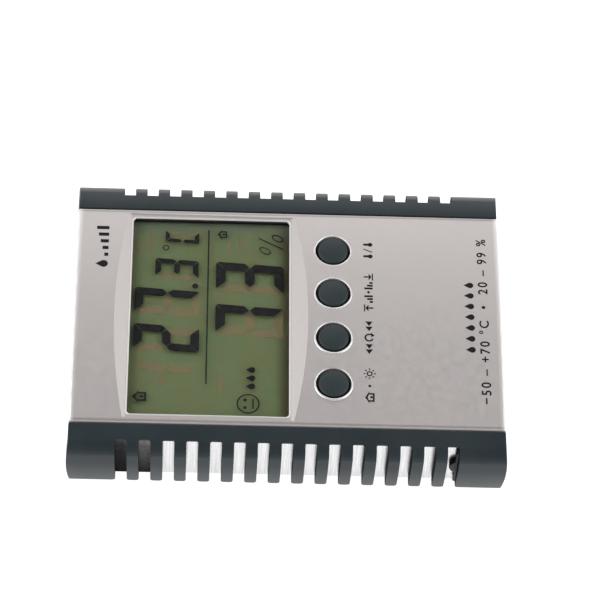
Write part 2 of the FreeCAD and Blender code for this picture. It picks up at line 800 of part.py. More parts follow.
# ---------------------------------------------------------------- circuit board and what is on it
def make_board():
    board = box_body("circuit_board", -board_half_x, board_half_x, board_lower_y, board_upper_y,
                     board_under_z, board_top_z)
    cut_rounds(board, board_under_z - 0.5, board_top_z, BOARD_SCREWS, d.board_screw + 0.6)

    blob = new_body("chip_cover")
    turn(blob, [(0, -1.6), (5.5, 0), (0, 0)], {0: 10.25})
    place(blob, 8, window_y - 4, board_under_z)

    crystal = keep(doc.addObject("Part::Cylinder", "quartz_crystal"), "quartz_crystal")
    crystal.Radius = 1.0
    crystal.Height = 6.0
    crystal.Placement.Rotation = FreeCAD.Rotation(Vector(1, 0, 0), 90)
    place(crystal, -14, window_y, board_under_z - 1.05)


def make_sensors():
    """The humidity sensor and the thermistor hang under the board, behind the vent. Its screen lies outside the wall."""
    sensor_x = -board_half_x
    sensor_y = screw_y - 12.95
    sensor = box_body("humidity_sensor", sensor_x, sensor_x + 4.4, sensor_y - 5, sensor_y + 5,
                      board_under_z - 5, board_under_z)
    slit = cut_boxes(sensor, board_under_z - 4.2, board_under_z - 0.8,
                     (sensor_x - 1, sensor_x + 0.8, sensor_y - 4, sensor_y - 3.2))
    repeat_along(sensor, slit, "Y_Axis", 7.2, 5)

    bead_y = sensor_y - 8.5
    bead = doc.addObject("Part::Sphere", "thermistor_bead")
    bead.Radius = 1.2
    place(bead, sensor_x + 2, bead_y, board_under_z - 4.2)
    legs = [bead]
    for side in (-1, 1):
        leg = doc.addObject("Part::Cylinder", "thermistor_leg")
        leg.Radius = 0.25
        leg.Height = 4.2
        place(leg, sensor_x + 2, bead_y + side * 0.6, board_under_z - 4.2)
        legs.append(leg)
    thermistor = keep(doc.addObject("Part::MultiFuse", "thermistor"), "thermistor")
    thermistor.Shapes = legs

    vent_y = (d.slot_count - 2) / 2 * d.slot_pitch
    half_screen = d.vent_length / 2 + 1.5
    box_body("vent_screen", -half_case - d.screen_thick, -half_case, vent_y - half_screen, vent_y + half_screen,
             bottom_z + 0.4, shoulder_z - 0.1)


# ---------------------------------------------------------------- buttons
def make_buttons():
    """Four sprung caps. Each has a flange that catches under the face and a stem on a rubber dome."""
    mat_top = board_top_z + d.mat_thick
    flange_top = ceiling_z - d.flange_gap
    flange_under = flange_top - d.flange_thick
    stem_end = flange_under - d.stem_length
    half_row = (d.button_count - 1) / 2 * d.button_pitch
    mat_x = half_row + d.flange_width / 2
    box_body("keypad_mat", -mat_x, mat_x, button_y - 5.5, button_y + 5.5, board_top_z, mat_top)
    cap = d.button_cap / 2
    for number in range(1, int(d.button_count.value) + 1):
        x = half_row - (number - 1) * d.button_pitch
        rim = crown_z - crown_drop(x) + d.button_rise
        body = new_body(f"button_{number}")
        corners = [
            (0, stem_end), (d.stem_width / 2, stem_end), (d.stem_width / 2, flange_under),
            (d.flange_width / 2, flange_under), (d.flange_width / 2, flange_top), (cap, flange_top),
            (cap, rim - d.cap_round), (cap - d.cap_round, rim), (0, rim + d.button_dome),
        ]
        crown_top = cap - d.cap_round
        dome_radius = (crown_top * crown_top + d.button_dome * d.button_dome) / (2 * d.button_dome)
        turn(body, corners, {6: d.cap_round, 7: dome_radius})
        place(body, x, button_y)

        shell = doc.addObject("Part::Cone", f"dome_outside_{number}")
        hollow = doc.addObject("Part::Cone", f"dome_inside_{number}")
        for cone, thinner, lower in ((shell, 0, 0), (hollow, 0.6, 0.01)):
            bind(cone, "Radius1", d.stem_width / 2 + 1.6 - thinner)
            bind(cone, "Radius2", d.stem_width / 2 - thinner)
            bind(cone, "Height", stem_end - mat_top - thinner)
            place(cone, x, button_y, mat_top - lower)
        dome = keep(doc.addObject("Part::Cut", f"key_dome_{number}"), f"key_dome_{number}")
        dome.Base = shell
        dome.Tool = hollow


# ---------------------------------------------------------------- power
def make_power():
    """One small cell across the case, between two leaf contacts, each with a lead to the board."""
    half_cell = d.cell_length / 2
    cell = new_body("battery_cell")
    radius = d.cell_diameter / 2
    nub = d.cell_nub_width / 2
    shoulder = half_cell - d.cell_nub_length
    corners = [
        (0, -half_cell), (radius, -half_cell), (radius, shoulder), (nub, shoulder), (nub, half_cell),
        (0, half_cell),
    ]
    turn(cell, corners, plane="XZ_Plane")
    cell.Placement.Rotation = FreeCAD.Rotation(Vector(0, 1, 0), -90)
    place(cell, 0, bay_y, cell_z)

    wall_x = bay_half_x
    reach_x = half_cell + 0.1
    thick = d.contact_thick
    for label, side in (("battery_contact_negative", 1), ("battery_contact_positive", -1)):
        body = new_body(label)
        sketch = new_sketch(body, "XZ_Plane", height=-bay_y)
        corners = [
            (wall_x, cell_z - 5), (wall_x, bay_top_z + 0.6), (wall_x - thick, bay_top_z + 0.6),
            (wall_x - thick, cell_z + 4.2), (reach_x, cell_z), (wall_x - thick - 0.9, cell_z - 4),
            (wall_x - thick - 0.4, cell_z - 4), (reach_x + thick + 0.2, cell_z),
            (wall_x - thick, cell_z + 3.2), (wall_x - thick, cell_z - 5),
        ]
        corners = [(side * x, z) for x, z in corners]
        add_outline(sketch, corners)
        pad(body, sketch, d.contact_width, both_ways=True)

        lead = new_body("battery_lead_" + label.split("_")[-1])
        lead_x = side * (wall_x - thick / 2)
        start_y = bay_y + d.contact_width / 2 + 0.05
        run_z = bay_top_z + 0.1 + d.lead_diameter / 2
        drop_y = board_lower_y + 2
        bend = 1.2
        path = new_sketch(lead, "YZ_Plane", height=lead_x)
        corners = [(start_y, run_z), (drop_y - bend, run_z), (drop_y, run_z - bend), (drop_y, board_top_z)]
        add_outline(path, corners, {1: -bend}, closed=False)
        ring = new_sketch(lead, "XZ_Plane", height=-start_y)
        add_circle(ring, lead_x, run_z, d.lead_diameter)
        pipe = lead.newObject("PartDesign::AdditivePipe", lead.Name + "_pipe")
        pipe.Profile = ring
        pipe.Spine = (path, [])


# ---------------------------------------------------------------- probe socket, feet and screws
def make_probe_gland():
    """Rubber sleeve in the lower end wall, where the outdoor probe's lead enters."""
    body = new_body("probe_gland")
    bore = d.gland_bore / 2
    neck = d.gland_hole / 2 - 0.05
    flange = neck + 1.3
    wall_y = d.case_wall - half_length
    corners = [
        (bore, -half_length - 0.5), (flange, -half_length - 0.5), (flange, -half_length),
        (neck, -half_length), (neck, wall_y), (flange, wall_y), (flange, wall_y + 1), (bore, wall_y + 1),
    ]
    turn(body, corners, plane="XY_Plane")
    place(body, d.gland_x, 0, d.gland_z)


def make_screws(label, places, seat, head_width, head_high, shank, length):
    """Pan-head screws that point up, each with a cross recess in its head."""
    body = new_body(label)
    pad_rounds(body, seat - head_high, seat, places, head_width)
    pad_rounds(body, seat, seat + length, places, shank)
    arm = head_width * 0.3
    half = head_width * 0.07
    low = seat - head_high - 0.5
    depth = seat - head_high * 0.4
    cut_boxes(body, low, depth, *[(x - arm, x + arm, y - half, y + half) for x, y in places])
    cut_boxes(body, low, depth, *[(x - half, x + half, y - arm, y + arm) for x, y in places])


make_front_shell()
make_rails()
make_rear_cover()
make_battery_door()
make_stand()
make_display()
make_board()
make_sensors()
make_buttons()
make_power()
make_probe_gland()
make_screws("case_screws", CASE_SCREWS, bottom_z + 1.3, d.case_head, 1.1, d.case_screw, 9.5)
make_screws("board_screws", BOARD_SCREWS, board_under_z, d.board_head, 1.3, d.board_screw, 5.4)
feet = new_body("rubber_feet")
pad_rounds(feet, 0, d.foot_thick, FEET, d.foot_diameter)

# ---------------------------------------------------------------- check and write
doc.recompute()
failed = [obj.Name for obj in doc.Objects if "Invalid" in obj.State or "Error" in obj.State]
failed += [part.Label for part in PARTS if part.Shape.isNull() or not part.Shape.isValid()]
if failed:
    raise RuntimeError("these did not build: " + ", ".join(failed))
os.makedirs("parts", exist_ok=True)
for part in PARTS:
    part.Shape.exportStep(os.path.join("parts", part.Label + ".step"))
    solids = len(part.Shape.Solids)
    print(f"{part.Label}: {solids} solid(s), {part.Shape.Volume:.1f} mm3")
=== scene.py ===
# %% [markdown]
# # A desk thermometer and humidity meter that remembers its highest and lowest readings
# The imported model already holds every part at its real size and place, in metres. This lesson gives the
# parts their finishes, builds the fine things that a drawing leaves out, and lights them.
# Loading comes first, because every position below is read from the parts themselves.

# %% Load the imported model
import json
import math
import bmesh
import bpy
from mathutils import Matrix, Vector
from mathutils.bvhtree import BVHTree

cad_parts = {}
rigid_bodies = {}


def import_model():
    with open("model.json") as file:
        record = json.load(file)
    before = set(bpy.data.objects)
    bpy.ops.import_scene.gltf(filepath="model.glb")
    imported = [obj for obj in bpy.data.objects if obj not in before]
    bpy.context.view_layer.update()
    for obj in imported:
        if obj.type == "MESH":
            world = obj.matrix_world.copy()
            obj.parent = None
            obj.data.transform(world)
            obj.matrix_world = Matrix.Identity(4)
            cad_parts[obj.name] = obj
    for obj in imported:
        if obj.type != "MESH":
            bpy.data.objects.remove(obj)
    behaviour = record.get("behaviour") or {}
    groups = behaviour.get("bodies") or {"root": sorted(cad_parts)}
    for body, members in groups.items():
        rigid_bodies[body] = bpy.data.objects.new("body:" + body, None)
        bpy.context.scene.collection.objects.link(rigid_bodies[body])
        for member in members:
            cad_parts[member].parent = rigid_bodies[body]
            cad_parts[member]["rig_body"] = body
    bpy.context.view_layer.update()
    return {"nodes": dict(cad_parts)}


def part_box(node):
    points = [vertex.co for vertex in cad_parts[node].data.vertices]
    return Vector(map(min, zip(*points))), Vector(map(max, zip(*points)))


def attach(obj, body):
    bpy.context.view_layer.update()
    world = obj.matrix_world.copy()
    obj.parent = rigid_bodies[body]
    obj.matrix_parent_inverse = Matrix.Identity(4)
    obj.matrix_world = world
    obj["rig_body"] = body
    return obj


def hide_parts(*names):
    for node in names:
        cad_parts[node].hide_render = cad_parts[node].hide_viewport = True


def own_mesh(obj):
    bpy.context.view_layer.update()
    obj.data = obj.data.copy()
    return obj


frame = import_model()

MM = 0.001
nodes = frame["nodes"]

# %% [markdown]
# ## Where the camera stands
# A long lens far away keeps the sides of a small flat object nearly parallel. The camera looks down on the
# face across its short side, so the near rail shows its slots. A direction and an up vector say exactly how
# it is turned, with a slight tilt.

# %% Camera
CAMERA_PLACE = Vector((-0.4657, 0.0266, 0.7191))
CAMERA_FORWARD = Vector((0.55825, -0.03544, -0.82891))
CAMERA_UP = Vector((0.82967, 0.02412, 0.55773))


def aim(thing, place, forward, up=(0, 0, 1)):
    """Stands a camera or a lamp at a place, looking along forward."""
    forward = Vector(forward).normalized()
    right = forward.cross(Vector(up)).normalized()
    upward = right.cross(forward)
    thing.rotation_mode = "QUATERNION"
    thing.rotation_quaternion = Matrix((right, upward, -forward)).transposed().to_quaternion()
    thing.location = place


lens = bpy.data.cameras.new("camera")
lens.lens = 180
lens.sensor_width = 36
lens.clip_start, lens.clip_end = 0.01, 20
camera = bpy.data.objects.new("camera", lens)
bpy.context.collection.objects.link(camera)
aim(camera, CAMERA_PLACE, CAMERA_FORWARD, CAMERA_UP)
bpy.context.scene.camera = camera
print("the camera is", round(CAMERA_PLACE.length, 3), "m from the middle of the base")

# %% [markdown]
# ## Making a material from nodes
# Each finish starts as the standard surface shader. A value that is the same all over is set on the shader
# itself. Detail comes from textures that read the object's own coordinates, so it stays put on the part.
# Two small helpers keep the wiring readable: one adds a node, one starts a material.

# %% Material helpers
def wire(mat, kind, inputs=(), **settings):
    """Adds a node, sets it up, and joins or fills its inputs."""
    node = mat.node_tree.nodes.new("ShaderNode" + kind)
    for key, value in settings.items():
        setattr(node, key, value)
    for key, value in dict(inputs).items():
        if isinstance(value, bpy.types.NodeSocket):
            mat.node_tree.links.new(value, node.inputs[key])
        else:
            node.inputs[key].default_value = value
    return node


def start_material(name, **values):
    """A new material and its surface shader. Words in value names are joined by underscores."""
    mat = bpy.data.materials.new(name)
    mat.use_nodes = True
    shader = mat.node_tree.nodes["Principled BSDF"]
    for key, value in values.items():
        shader.inputs[key.replace("_", " ")].default_value = value
    return mat, shader


def join(mat, output, socket):
    """Runs a link from one node's output to a socket."""
    mat.node_tree.links.new(output, socket)


def colour(red, green, blue):
    return (red, green, blue, 1.0)


print("helpers ready")

# %% [markdown]
# ## Textures measured in millimetres
# Noise has a scale in repeats per metre, which is hard to picture. These helpers take the size of one
# blotch in millimetres instead, so a grain of 0.3 is a third of a millimetre on the real part.

# %% Texture helpers
def here(mat):
    """The point on the part, in the object's own coordinates."""
    return wire(mat, "TexCoord").outputs["Object"]


def axes(mat):
    """The point's x, y and z, each as a number."""
    return wire(mat, "SeparateXYZ", {"Vector": here(mat)}).outputs


def reckon(mat, how, a, b=0.5):
    """One sum on two numbers. Either may be a socket or a plain value."""
    return wire(mat, "Math", {0: a, 1: b}, operation=how).outputs[0]


def noise(mat, size, detail=2.0, roughness=0.5, stretch=(1, 1, 1), shift=(0, 0, 0)):
    """Soft random blotches of the given size in mm. Stretch makes them longer along an axis."""
    scale = [1 / s for s in stretch]
    mapped = wire(mat, "Mapping", {"Vector": here(mat), "Scale": scale, "Location": shift})
    node = wire(mat, "TexNoise", {"Vector": mapped.outputs[0], "Scale": 1 / (size * MM),
                                  "Detail": detail, "Roughness": roughness})
    return node.outputs["Fac"]


def ramp(mat, fac, stops):
    """Turns a number into colours, by stops of position and colour."""
    node = wire(mat, "ValToRGB", {"Fac": fac})
    band = node.color_ramp
    while len(band.elements) < len(stops):
        band.elements.new(0.5)
    for element, (position, tint) in zip(band.elements, stops):
        element.position, element.color = position, tint
    return node.outputs["Color"]


def spread(mat, fac, low, high, start=0.3, end=0.7):
    """Stretches a texture's middle to a range of values."""
    node = wire(mat, "MapRange", {"Value": fac, "From Min": start, "From Max": end,
                                  "To Min": low, "To Max": high})
    return node.outputs["Result"]


def bump(mat, height, depth, strength=1.0, under=None):
    """Makes a texture push the surface in and out by depth, in mm."""
    inputs = {"Height": height, "Distance": depth * MM, "Strength": strength}
    if under is not None:
        inputs["Normal"] = under
    return wire(mat, "Bump", inputs).outputs["Normal"]


def mix(mat, fac, a, b, how="MIX"):
    """Blends two colours. fac, a and b are sockets or plain values."""
    node = wire(mat, "Mix", data_type="RGBA", blend_type=how)
    for index, value in ((0, fac), (6, a), (7, b)):
        if isinstance(value, bpy.types.NodeSocket):
            join(mat, value, node.inputs[index])
        else:
            node.inputs[index].default_value = value
    return node.outputs[2]


print("textures ready")

# %% [markdown]
# ## Moulded plastic
# Most small parts are plain moulded plastic or rubber. The mould is spark-eroded, which leaves a fine even
# grain, and the colour drifts very slightly where the melt flowed. One recipe makes them all: two close
# colours over broad clouds, a fine grain that bumps, and a roughness that varies with both.

# %% Moulded plastic recipe
def moulded(name, dark, light, rough=(0.38, 0.5), grain=0.22, depth=0.006, cloud=14.0, **values):
    """A plastic or rubber between two colours. grain, depth and cloud are in mm."""
    mat, shader = start_material(name, **values)
    clouds = noise(mat, cloud, detail=3)
    tint = ramp(mat, clouds, [(0.32, colour(*dark)), (0.68, colour(*light))])
    fine = noise(mat, grain, detail=2)
    scuffs = noise(mat, 3.2, detail=5, roughness=0.72, stretch=(1, 4, 1))
    marks = spread(mat, scuffs, 0.0, 0.16, start=0.64, end=0.80)
    pale = tuple(min(1.0, c * 1.7 + 0.02) for c in light)
    join(mat, mix(mat, marks, tint, colour(*pale)), shader.inputs["Base Color"])
    uneven = wire(mat, "Math", {0: fine, 1: clouds}, operation="MULTIPLY_ADD")
    uneven.inputs[2].default_value = 0.25
    join(mat, spread(mat, uneven.outputs[0], *rough, start=0.35, end=0.65), shader.inputs["Roughness"])
    join(mat, bump(mat, fine, depth), shader.inputs["Normal"])
    return mat


finishes = {
    "slate_plastic": moulded("slate_plastic", (0.019, 0.027, 0.031), (0.024, 0.033, 0.037),
                             rough=(0.34, 0.44)),
    "cap_plastic": moulded("cap_plastic", (0.018, 0.028, 0.031), (0.022, 0.033, 0.036), rough=(0.42, 0.52),
                           grain=0.16, depth=0.004, cloud=5.0, Specular_IOR_Level=0.36),
    "holder_plastic": moulded("holder_plastic", (0.60, 0.60, 0.57), (0.68, 0.68, 0.65)),
    "grey_silicone": moulded("grey_silicone", (0.22, 0.23, 0.23), (0.27, 0.28, 0.28), rough=(0.55, 0.7)),
    "sensor_plastic": moulded("sensor_plastic", (0.78, 0.79, 0.80), (0.86, 0.87, 0.88), cloud=4.0),
    "carbon_rubber": moulded("carbon_rubber", (0.020, 0.020, 0.022), (0.035, 0.034, 0.036), rough=(0.6, 0.8)),
    "black_rubber": moulded("black_rubber", (0.014, 0.014, 0.015), (0.024, 0.024, 0.025), rough=(0.6, 0.85),
                            grain=0.3, depth=0.012),
    "black_resin": moulded("black_resin", (0.010, 0.010, 0.011), (0.018, 0.018, 0.019), rough=(0.12, 0.25),
                           grain=1.2, depth=0.02, cloud=4.0),
    "tape_black": moulded("tape_black", (0.012, 0.012, 0.012), (0.020, 0.020, 0.021), rough=(0.65, 0.8)),
    "lead_red": moulded("lead_red", (0.42, 0.020, 0.016), (0.50, 0.030, 0.022), rough=(0.35, 0.45),
                        cloud=3.0),
    "lead_black": moulded("lead_black", (0.014, 0.014, 0.014), (0.022, 0.022, 0.022), rough=(0.35, 0.45),
                          cloud=3.0),
}
print(len(finishes), "plastics and rubbers")

# %% [markdown]
# The lower walls of the rails look paler than their tops, and so does the outer edge of the right-hand rail.
# The lamps alone don't give that here, so a painted sheen is made to follow height and width. This is a
# painter's aid, not a property of the plastic, and an export that drops a linked sheen level loses it. The cut
# faces between the bars get a duller, darker version, which is painted shade, so that the slots read as deep.

# %% Painted sheen that follows height and width
FAR_EDGE_SHEEN = (35.5, 45.0)


def painted_sheen(mat, low, high, foot, top):
    """Painted sheen that goes from low at foot to high at top, both heights in mm, and rises towards the far
    rail's outer edge.
    """
    at = axes(mat)
    by_height = spread(mat, at["Z"], low, high, start=foot * MM, end=top * MM)
    far_edge_sheen = spread(mat, at["X"], 0.04, 1.15, start=FAR_EDGE_SHEEN[0] * MM, end=FAR_EDGE_SHEEN[1] * MM)
    shine = reckon(mat, "ADD", by_height, far_edge_sheen)
    join(mat, shine, mat.node_tree.nodes["Principled BSDF"].inputs["Specular IOR Level"])


painted_sheen(finishes["slate_plastic"], 0.44, 0.14, 0.0, 11.5)
# The darker colour of the slot faces is painted shade.
shaded_slot_slate = moulded("shaded_slot_slate", (0.006, 0.008, 0.009), (0.009, 0.012, 0.013), rough=(0.7, 0.85),
                     Specular_IOR_Level=0.1)
# The slate's sheen is painted, and its slot faces carry painted shade.
print("slate has a sheen painted on top and shaded slots")

# %% [markdown]
# ## Metal parts
# The screws and the battery contacts are plated steel. Plating is bright, but handling and rolling leave
# fine lines along the strip. Noise that is stretched along one axis gives those lines, in colour, in
# roughness and as a very shallow bump.

# %% Plated metal recipe
def plated(name, dark, light, rough, stretch):
    """Bare metal between two colours. stretch draws its fine lines out along an axis."""
    mat, shader = start_material(name, Metallic=1.0)
    lines = noise(mat, 0.25, detail=4, roughness=0.65, stretch=stretch)
    stain = noise(mat, 3.0, detail=3)
    tint = ramp(mat, stain, [(0.3, colour(*dark)), (0.7, colour(*light))])
    join(mat, tint, shader.inputs["Base Color"])
    join(mat, spread(mat, lines, *rough), shader.inputs["Roughness"])
    join(mat, bump(mat, lines, 0.004, 0.6), shader.inputs["Normal"])
    return mat


for name, dark, light, rough, stretch in (
        ("screw_steel", (0.42, 0.42, 0.43), (0.60, 0.60, 0.61), (0.25, 0.42), (1, 1, 6)),
        ("bright_metal", (0.62, 0.61, 0.58), (0.78, 0.77, 0.74), (0.15, 0.32), (1, 1, 8)),
        ("reflector_foil", (0.74, 0.74, 0.75), (0.86, 0.86, 0.87), (0.2, 0.34), (8, 1, 1))):
    finishes[name] = plated(name, dark, light, rough, stretch)
print("three plated metals")

# %% [markdown]
# ## Black wire with painted light
# The vent screen is taken to be black plastic wire. It is made greyer near the top of the opening and at its
# inner end, which is painted light, and stays black at the foot. Height and length are multiplied into one
# share of painted light, which blends grey specks over the bare wire.

# %% Screen wire with painted light
def wire_with_painted_light():
    mat, shader = start_material("screen_mesh", Specular_IOR_Level=0.3)
    at = axes(mat)
    up = spread(mat, at["Z"], 0.08, 1.0, start=1.5 * MM, end=13.0 * MM)
    inward = spread(mat, at["Y"], 1.0, 0.26, start=40.0 * MM, end=45.0 * MM)
    # The grey share is painted light, strongest high up and towards the inner end.
    painted_light_share = reckon(mat, "MULTIPLY", up, inward)
    specks = noise(mat, 1.1, detail=3)
    grey = ramp(mat, specks, [(0.35, colour(0.34, 0.33, 0.33)), (0.65, colour(0.50, 0.485, 0.485))])
    join(mat, mix(mat, painted_light_share, colour(0.012, 0.012, 0.012), grey), shader.inputs["Base Color"])
    join(mat, spread(mat, specks, 0.6, 0.85), shader.inputs["Roughness"])
    join(mat, bump(mat, specks, 0.006, 0.5), shader.inputs["Normal"])
    return mat


finishes["screen_mesh"] = wire_with_painted_light()
print("screen wire ready")

# %% [markdown]
# ## Silver paint
# The face and the case are plastic with a sprayed silver coat. Tiny aluminium flakes lie almost flat in it,
# so it is half metal and half milky, and each flake tips a little its own way. A cell texture gives every
# flake its own tilt and shade. Broad clouds warm the silver slightly towards pink. Four changes by place are
# painted in to match how the silver looks under these lamps: the side walls behind the bars are brighter,
# which is painted light, and smoother, with fine upright lines; a faint line along both long edges of the
# face is painted shade; the face's two ends are paler, a painted highlight; and the end walls below it are
# darker, a painted shade. Four changes by place are painted in to match how the silver looks, and their
# causes are guesses: the side walls behind the bars are brighter and smoother, with fine upright lines, a
# faint line runs along both long edges of the face, its two ends are paler, and the end walls below it are
# darker. The last one only keeps the pale surround from washing those walls out. The named places are in mm:
# how far out the side walls lie and the shade line runs, how far along the ends turn pale, and two heights.

# %% Silver paint
SIDE_WALL = 40.4
EDGE_SHADE_LINE = (34.3, 36.3)
END_HIGHLIGHT = (58.4, 59.5)
FACE_EDGE = (17.4, 18.6)
END_WALL_TOP = (16.4, 17.6)


def silver_paint(name, cool, warm, rough=(0.36, 0.46), metal=0.55):
    """Silver between a cooler and a warmer colour. metal is its share of metal on the face."""
    mat, shader = start_material(name, Coat_Weight=0.12, Coat_Roughness=0.22)
    at = axes(mat)
    across, along = (reckon(mat, "ABSOLUTE", at[axis]) for axis in "XY")
    side = reckon(mat, "GREATER_THAN", across, SIDE_WALL * MM)
    flakes = wire(mat, "TexVoronoi", {"Vector": here(mat), "Scale": 1 / (0.16 * MM)})
    clouds = noise(mat, 26.0, detail=3, roughness=0.55)
    tint = ramp(mat, clouds, [(0.34, colour(*cool)), (0.66, colour(*warm))])
    shade = ramp(mat, flakes.outputs["Color"], [(0.0, colour(0.93, 0.93, 0.93)), (1.0, colour(1, 1, 1))])
    coat = mix(mat, 1.0, tint, shade, "MULTIPLY")
    # The darker line along both long edges of the face is painted shade.
    share = spread(mat, across, 0.0, 1.0, start=EDGE_SHADE_LINE[0] * MM, end=EDGE_SHADE_LINE[1] * MM)
    line = ramp(mat, share, [(0.12, colour(1, 1, 1)), (0.24, colour(0.66, 0.66, 0.66)),
                             (0.42, colour(0.66, 0.66, 0.66)), (0.5, colour(1, 1, 1))])
    coat = mix(mat, 1.0, coat, line, "MULTIPLY")
    # The paler ends of the face are a painted highlight.
    thin = spread(mat, along, 0.0, 0.55, start=END_HIGHLIGHT[0] * MM, end=END_HIGHLIGHT[1] * MM)
    on_top = spread(mat, at["Z"], 0.0, 1.0, start=FACE_EDGE[0] * MM, end=FACE_EDGE[1] * MM)
    coat = mix(mat, reckon(mat, "MULTIPLY", thin, on_top), coat, colour(0.95, 0.94, 0.93))
    # The darker end walls below the face are painted shade.
    end_wall_shade = spread(mat, at["Z"], 0.74, 1.0, start=END_WALL_TOP[0] * MM, end=END_WALL_TOP[1] * MM)
    coat = mix(mat, 1.0, coat, end_wall_shade, "MULTIPLY")
    # The brighter side walls behind the bars are painted light, with fine upright lines.
    drawn = noise(mat, 0.45, detail=3, stretch=(1, 1, 30))
    painted_wall_light = ramp(mat, drawn, [(0.35, colour(0.68, 0.68, 0.69)), (0.65, colour(0.82, 0.82, 0.83))])
    join(mat, mix(mat, side, coat, painted_wall_light), shader.inputs["Base Color"])
    join(mat, spread(mat, side, metal, 0.97, start=0, end=1), shader.inputs["Metallic"])
    peel = noise(mat, 1.6, detail=2)
    satin = spread(mat, peel, *rough)
    polish = wire(mat, "Mix", {0: side, 2: satin}, data_type="FLOAT")
    polish.inputs[3].default_value = 0.24
    join(mat, polish.outputs[0], shader.inputs["Roughness"])
    skin = bump(mat, peel, 0.003, 0.5)
    join(mat, bump(mat, flakes.outputs["Distance"], 0.002, 0.6, under=skin), shader.inputs["Normal"])
    return mat


finishes["silver_paint"] = silver_paint("silver_paint", (0.58, 0.55, 0.535), (0.60, 0.55, 0.545))
# A paler, glossier copy of the silver for the window's lip: a painted highlight.
rim_highlight_paint = silver_paint("rim_highlight_paint", (0.80, 0.78, 0.765), (0.84, 0.815, 0.80), rough=(0.30, 0.38))
print("two silver coats")

# %% [markdown]
# ## The circuit board
# The board is woven glass under green solder mask. A weave of two crossed waves shows faintly through the
# mask, and a coarse brick pattern stands for the copper tracks that raise it.

# %% Circuit board
def board_laminate():
    mat, shader = start_material("board_laminate", Coat_Weight=0.4, Coat_Roughness=0.2)
    tracks = wire(mat, "TexBrick", {"Vector": here(mat), "Scale": 260.0, "Mortar Size": 0.06,
                                    "Color1": colour(0.016, 0.115, 0.045),
                                    "Color2": colour(0.020, 0.135, 0.052),
                                    "Mortar": colour(0.035, 0.20, 0.085)})
    weave = wire(mat, "TexWave", {"Vector": here(mat), "Scale": 900.0, "Distortion": 0.4})
    join(mat, mix(mat, 0.06, tracks.outputs["Color"], weave.outputs["Color"], "OVERLAY"),
         shader.inputs["Base Color"])
    raised = bump(mat, tracks.outputs["Fac"], 0.02, 0.8)
    join(mat, bump(mat, weave.outputs["Fac"], 0.004, 0.5, under=raised), shader.inputs["Normal"])
    join(mat, spread(mat, noise(mat, 2.0), 0.3, 0.45), shader.inputs["Roughness"])
    return mat


finishes["board_laminate"] = board_laminate()
print("board ready")

# %% [markdown]
# ## The cell and the thermistor
# A dry cell has a printed steel jacket with bare metal at both ends. The jacket's colours follow its length,
# so a ramp along X paints a plain band next to the positive end. The thermistor is a bead of dark glass.

# %% Cell jacket and bead glass
def cell_jacket():
    mat, shader = start_material("cell_jacket", Metallic=0.75)
    lo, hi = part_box("battery_cell")
    share = spread(mat, axes(mat)["X"], 0.0, 1.0, start=lo.x, end=hi.x)
    steel, band, body = colour(0.62, 0.62, 0.62), colour(0.55, 0.50, 0.42), colour(0.030, 0.060, 0.11)
    stops = [(0.0, steel), (0.036, steel), (0.038, band), (0.20, band), (0.205, body), (0.985, body),
             (0.988, steel), (1.0, steel)]
    scratches = noise(mat, 0.5, detail=5, roughness=0.7, stretch=(10, 1, 1))
    worn = spread(mat, scratches, 0.0, 0.35, start=0.62, end=0.8)
    join(mat, mix(mat, worn, ramp(mat, share, stops), steel), shader.inputs["Base Color"])
    join(mat, spread(mat, scratches, 0.22, 0.4), shader.inputs["Roughness"])
    join(mat, bump(mat, scratches, 0.004, 0.5), shader.inputs["Normal"])
    return mat


finishes["cell_jacket"] = cell_jacket()
finishes["bead_glass"] = moulded("bead_glass", (0.40, 0.22, 0.06), (0.52, 0.30, 0.09), rough=(0.05, 0.14),
                                 grain=0.8, depth=0.01, cloud=1.0)
print("cell and bead ready")

# %% [markdown]
# ## The clear window
# The window is a thin sheet of acrylic. Light has to pass straight through it and keep its shadows soft on
# the display below, so it is mostly a transparent shader. A Fresnel value mixes in a clear mirror layer,
# which is weak when looked at squarely and stronger at a glance, as on real acrylic. The mirror is kept to
# the side where light enters. On the way out it would turn the sheet black at low angles.

# %% Clear sheet recipe
def clear_sheet(name, tint, ior, rough):
    mat, shader = start_material(name)
    through = wire(mat, "BsdfTransparent", {"Color": colour(*tint)})
    gloss = wire(mat, "BsdfGlossy", {"Color": colour(1, 1, 1)})
    join(mat, spread(mat, noise(mat, 9.0, detail=4), *rough), gloss.inputs["Roughness"])
    ripple = noise(mat, 18.0, detail=1)
    mirror = wire(mat, "Fresnel", {"IOR": ior})
    leaving = wire(mat, "NewGeometry").outputs["Backfacing"]
    share = reckon(mat, "MULTIPLY", mirror.outputs[0], reckon(mat, "SUBTRACT", 1.0, leaving))
    join(mat, bump(mat, ripple, 0.01, 0.3), gloss.inputs["Normal"])
    both = wire(mat, "MixShader", {0: share, 1: through.outputs[0], 2: gloss.outputs[0]})
    join(mat, both.outputs[0], mat.node_tree.nodes["Material Output"].inputs["Surface"])
    mat.node_tree.nodes.remove(shader)
    return mat


finishes["clear_window"] = clear_sheet("clear_window", (0.97, 0.975, 0.97), 1.20, (0.03, 0.07))
cell_glass = clear_sheet("cell_glass", (0.985, 0.99, 0.98), 1.05, (0.02, 0.05))
print("clear window ready")

# %% [markdown]
# ## The grey-green back of the display
# Behind the liquid crystal lies a polariser with a dull mirror. It looks olive, a little greener along the
# far side and brown at the lower end. The cause of those changes isn't known, so they are painted in by the
# place on the display, and faint clouds keep it from being flat.

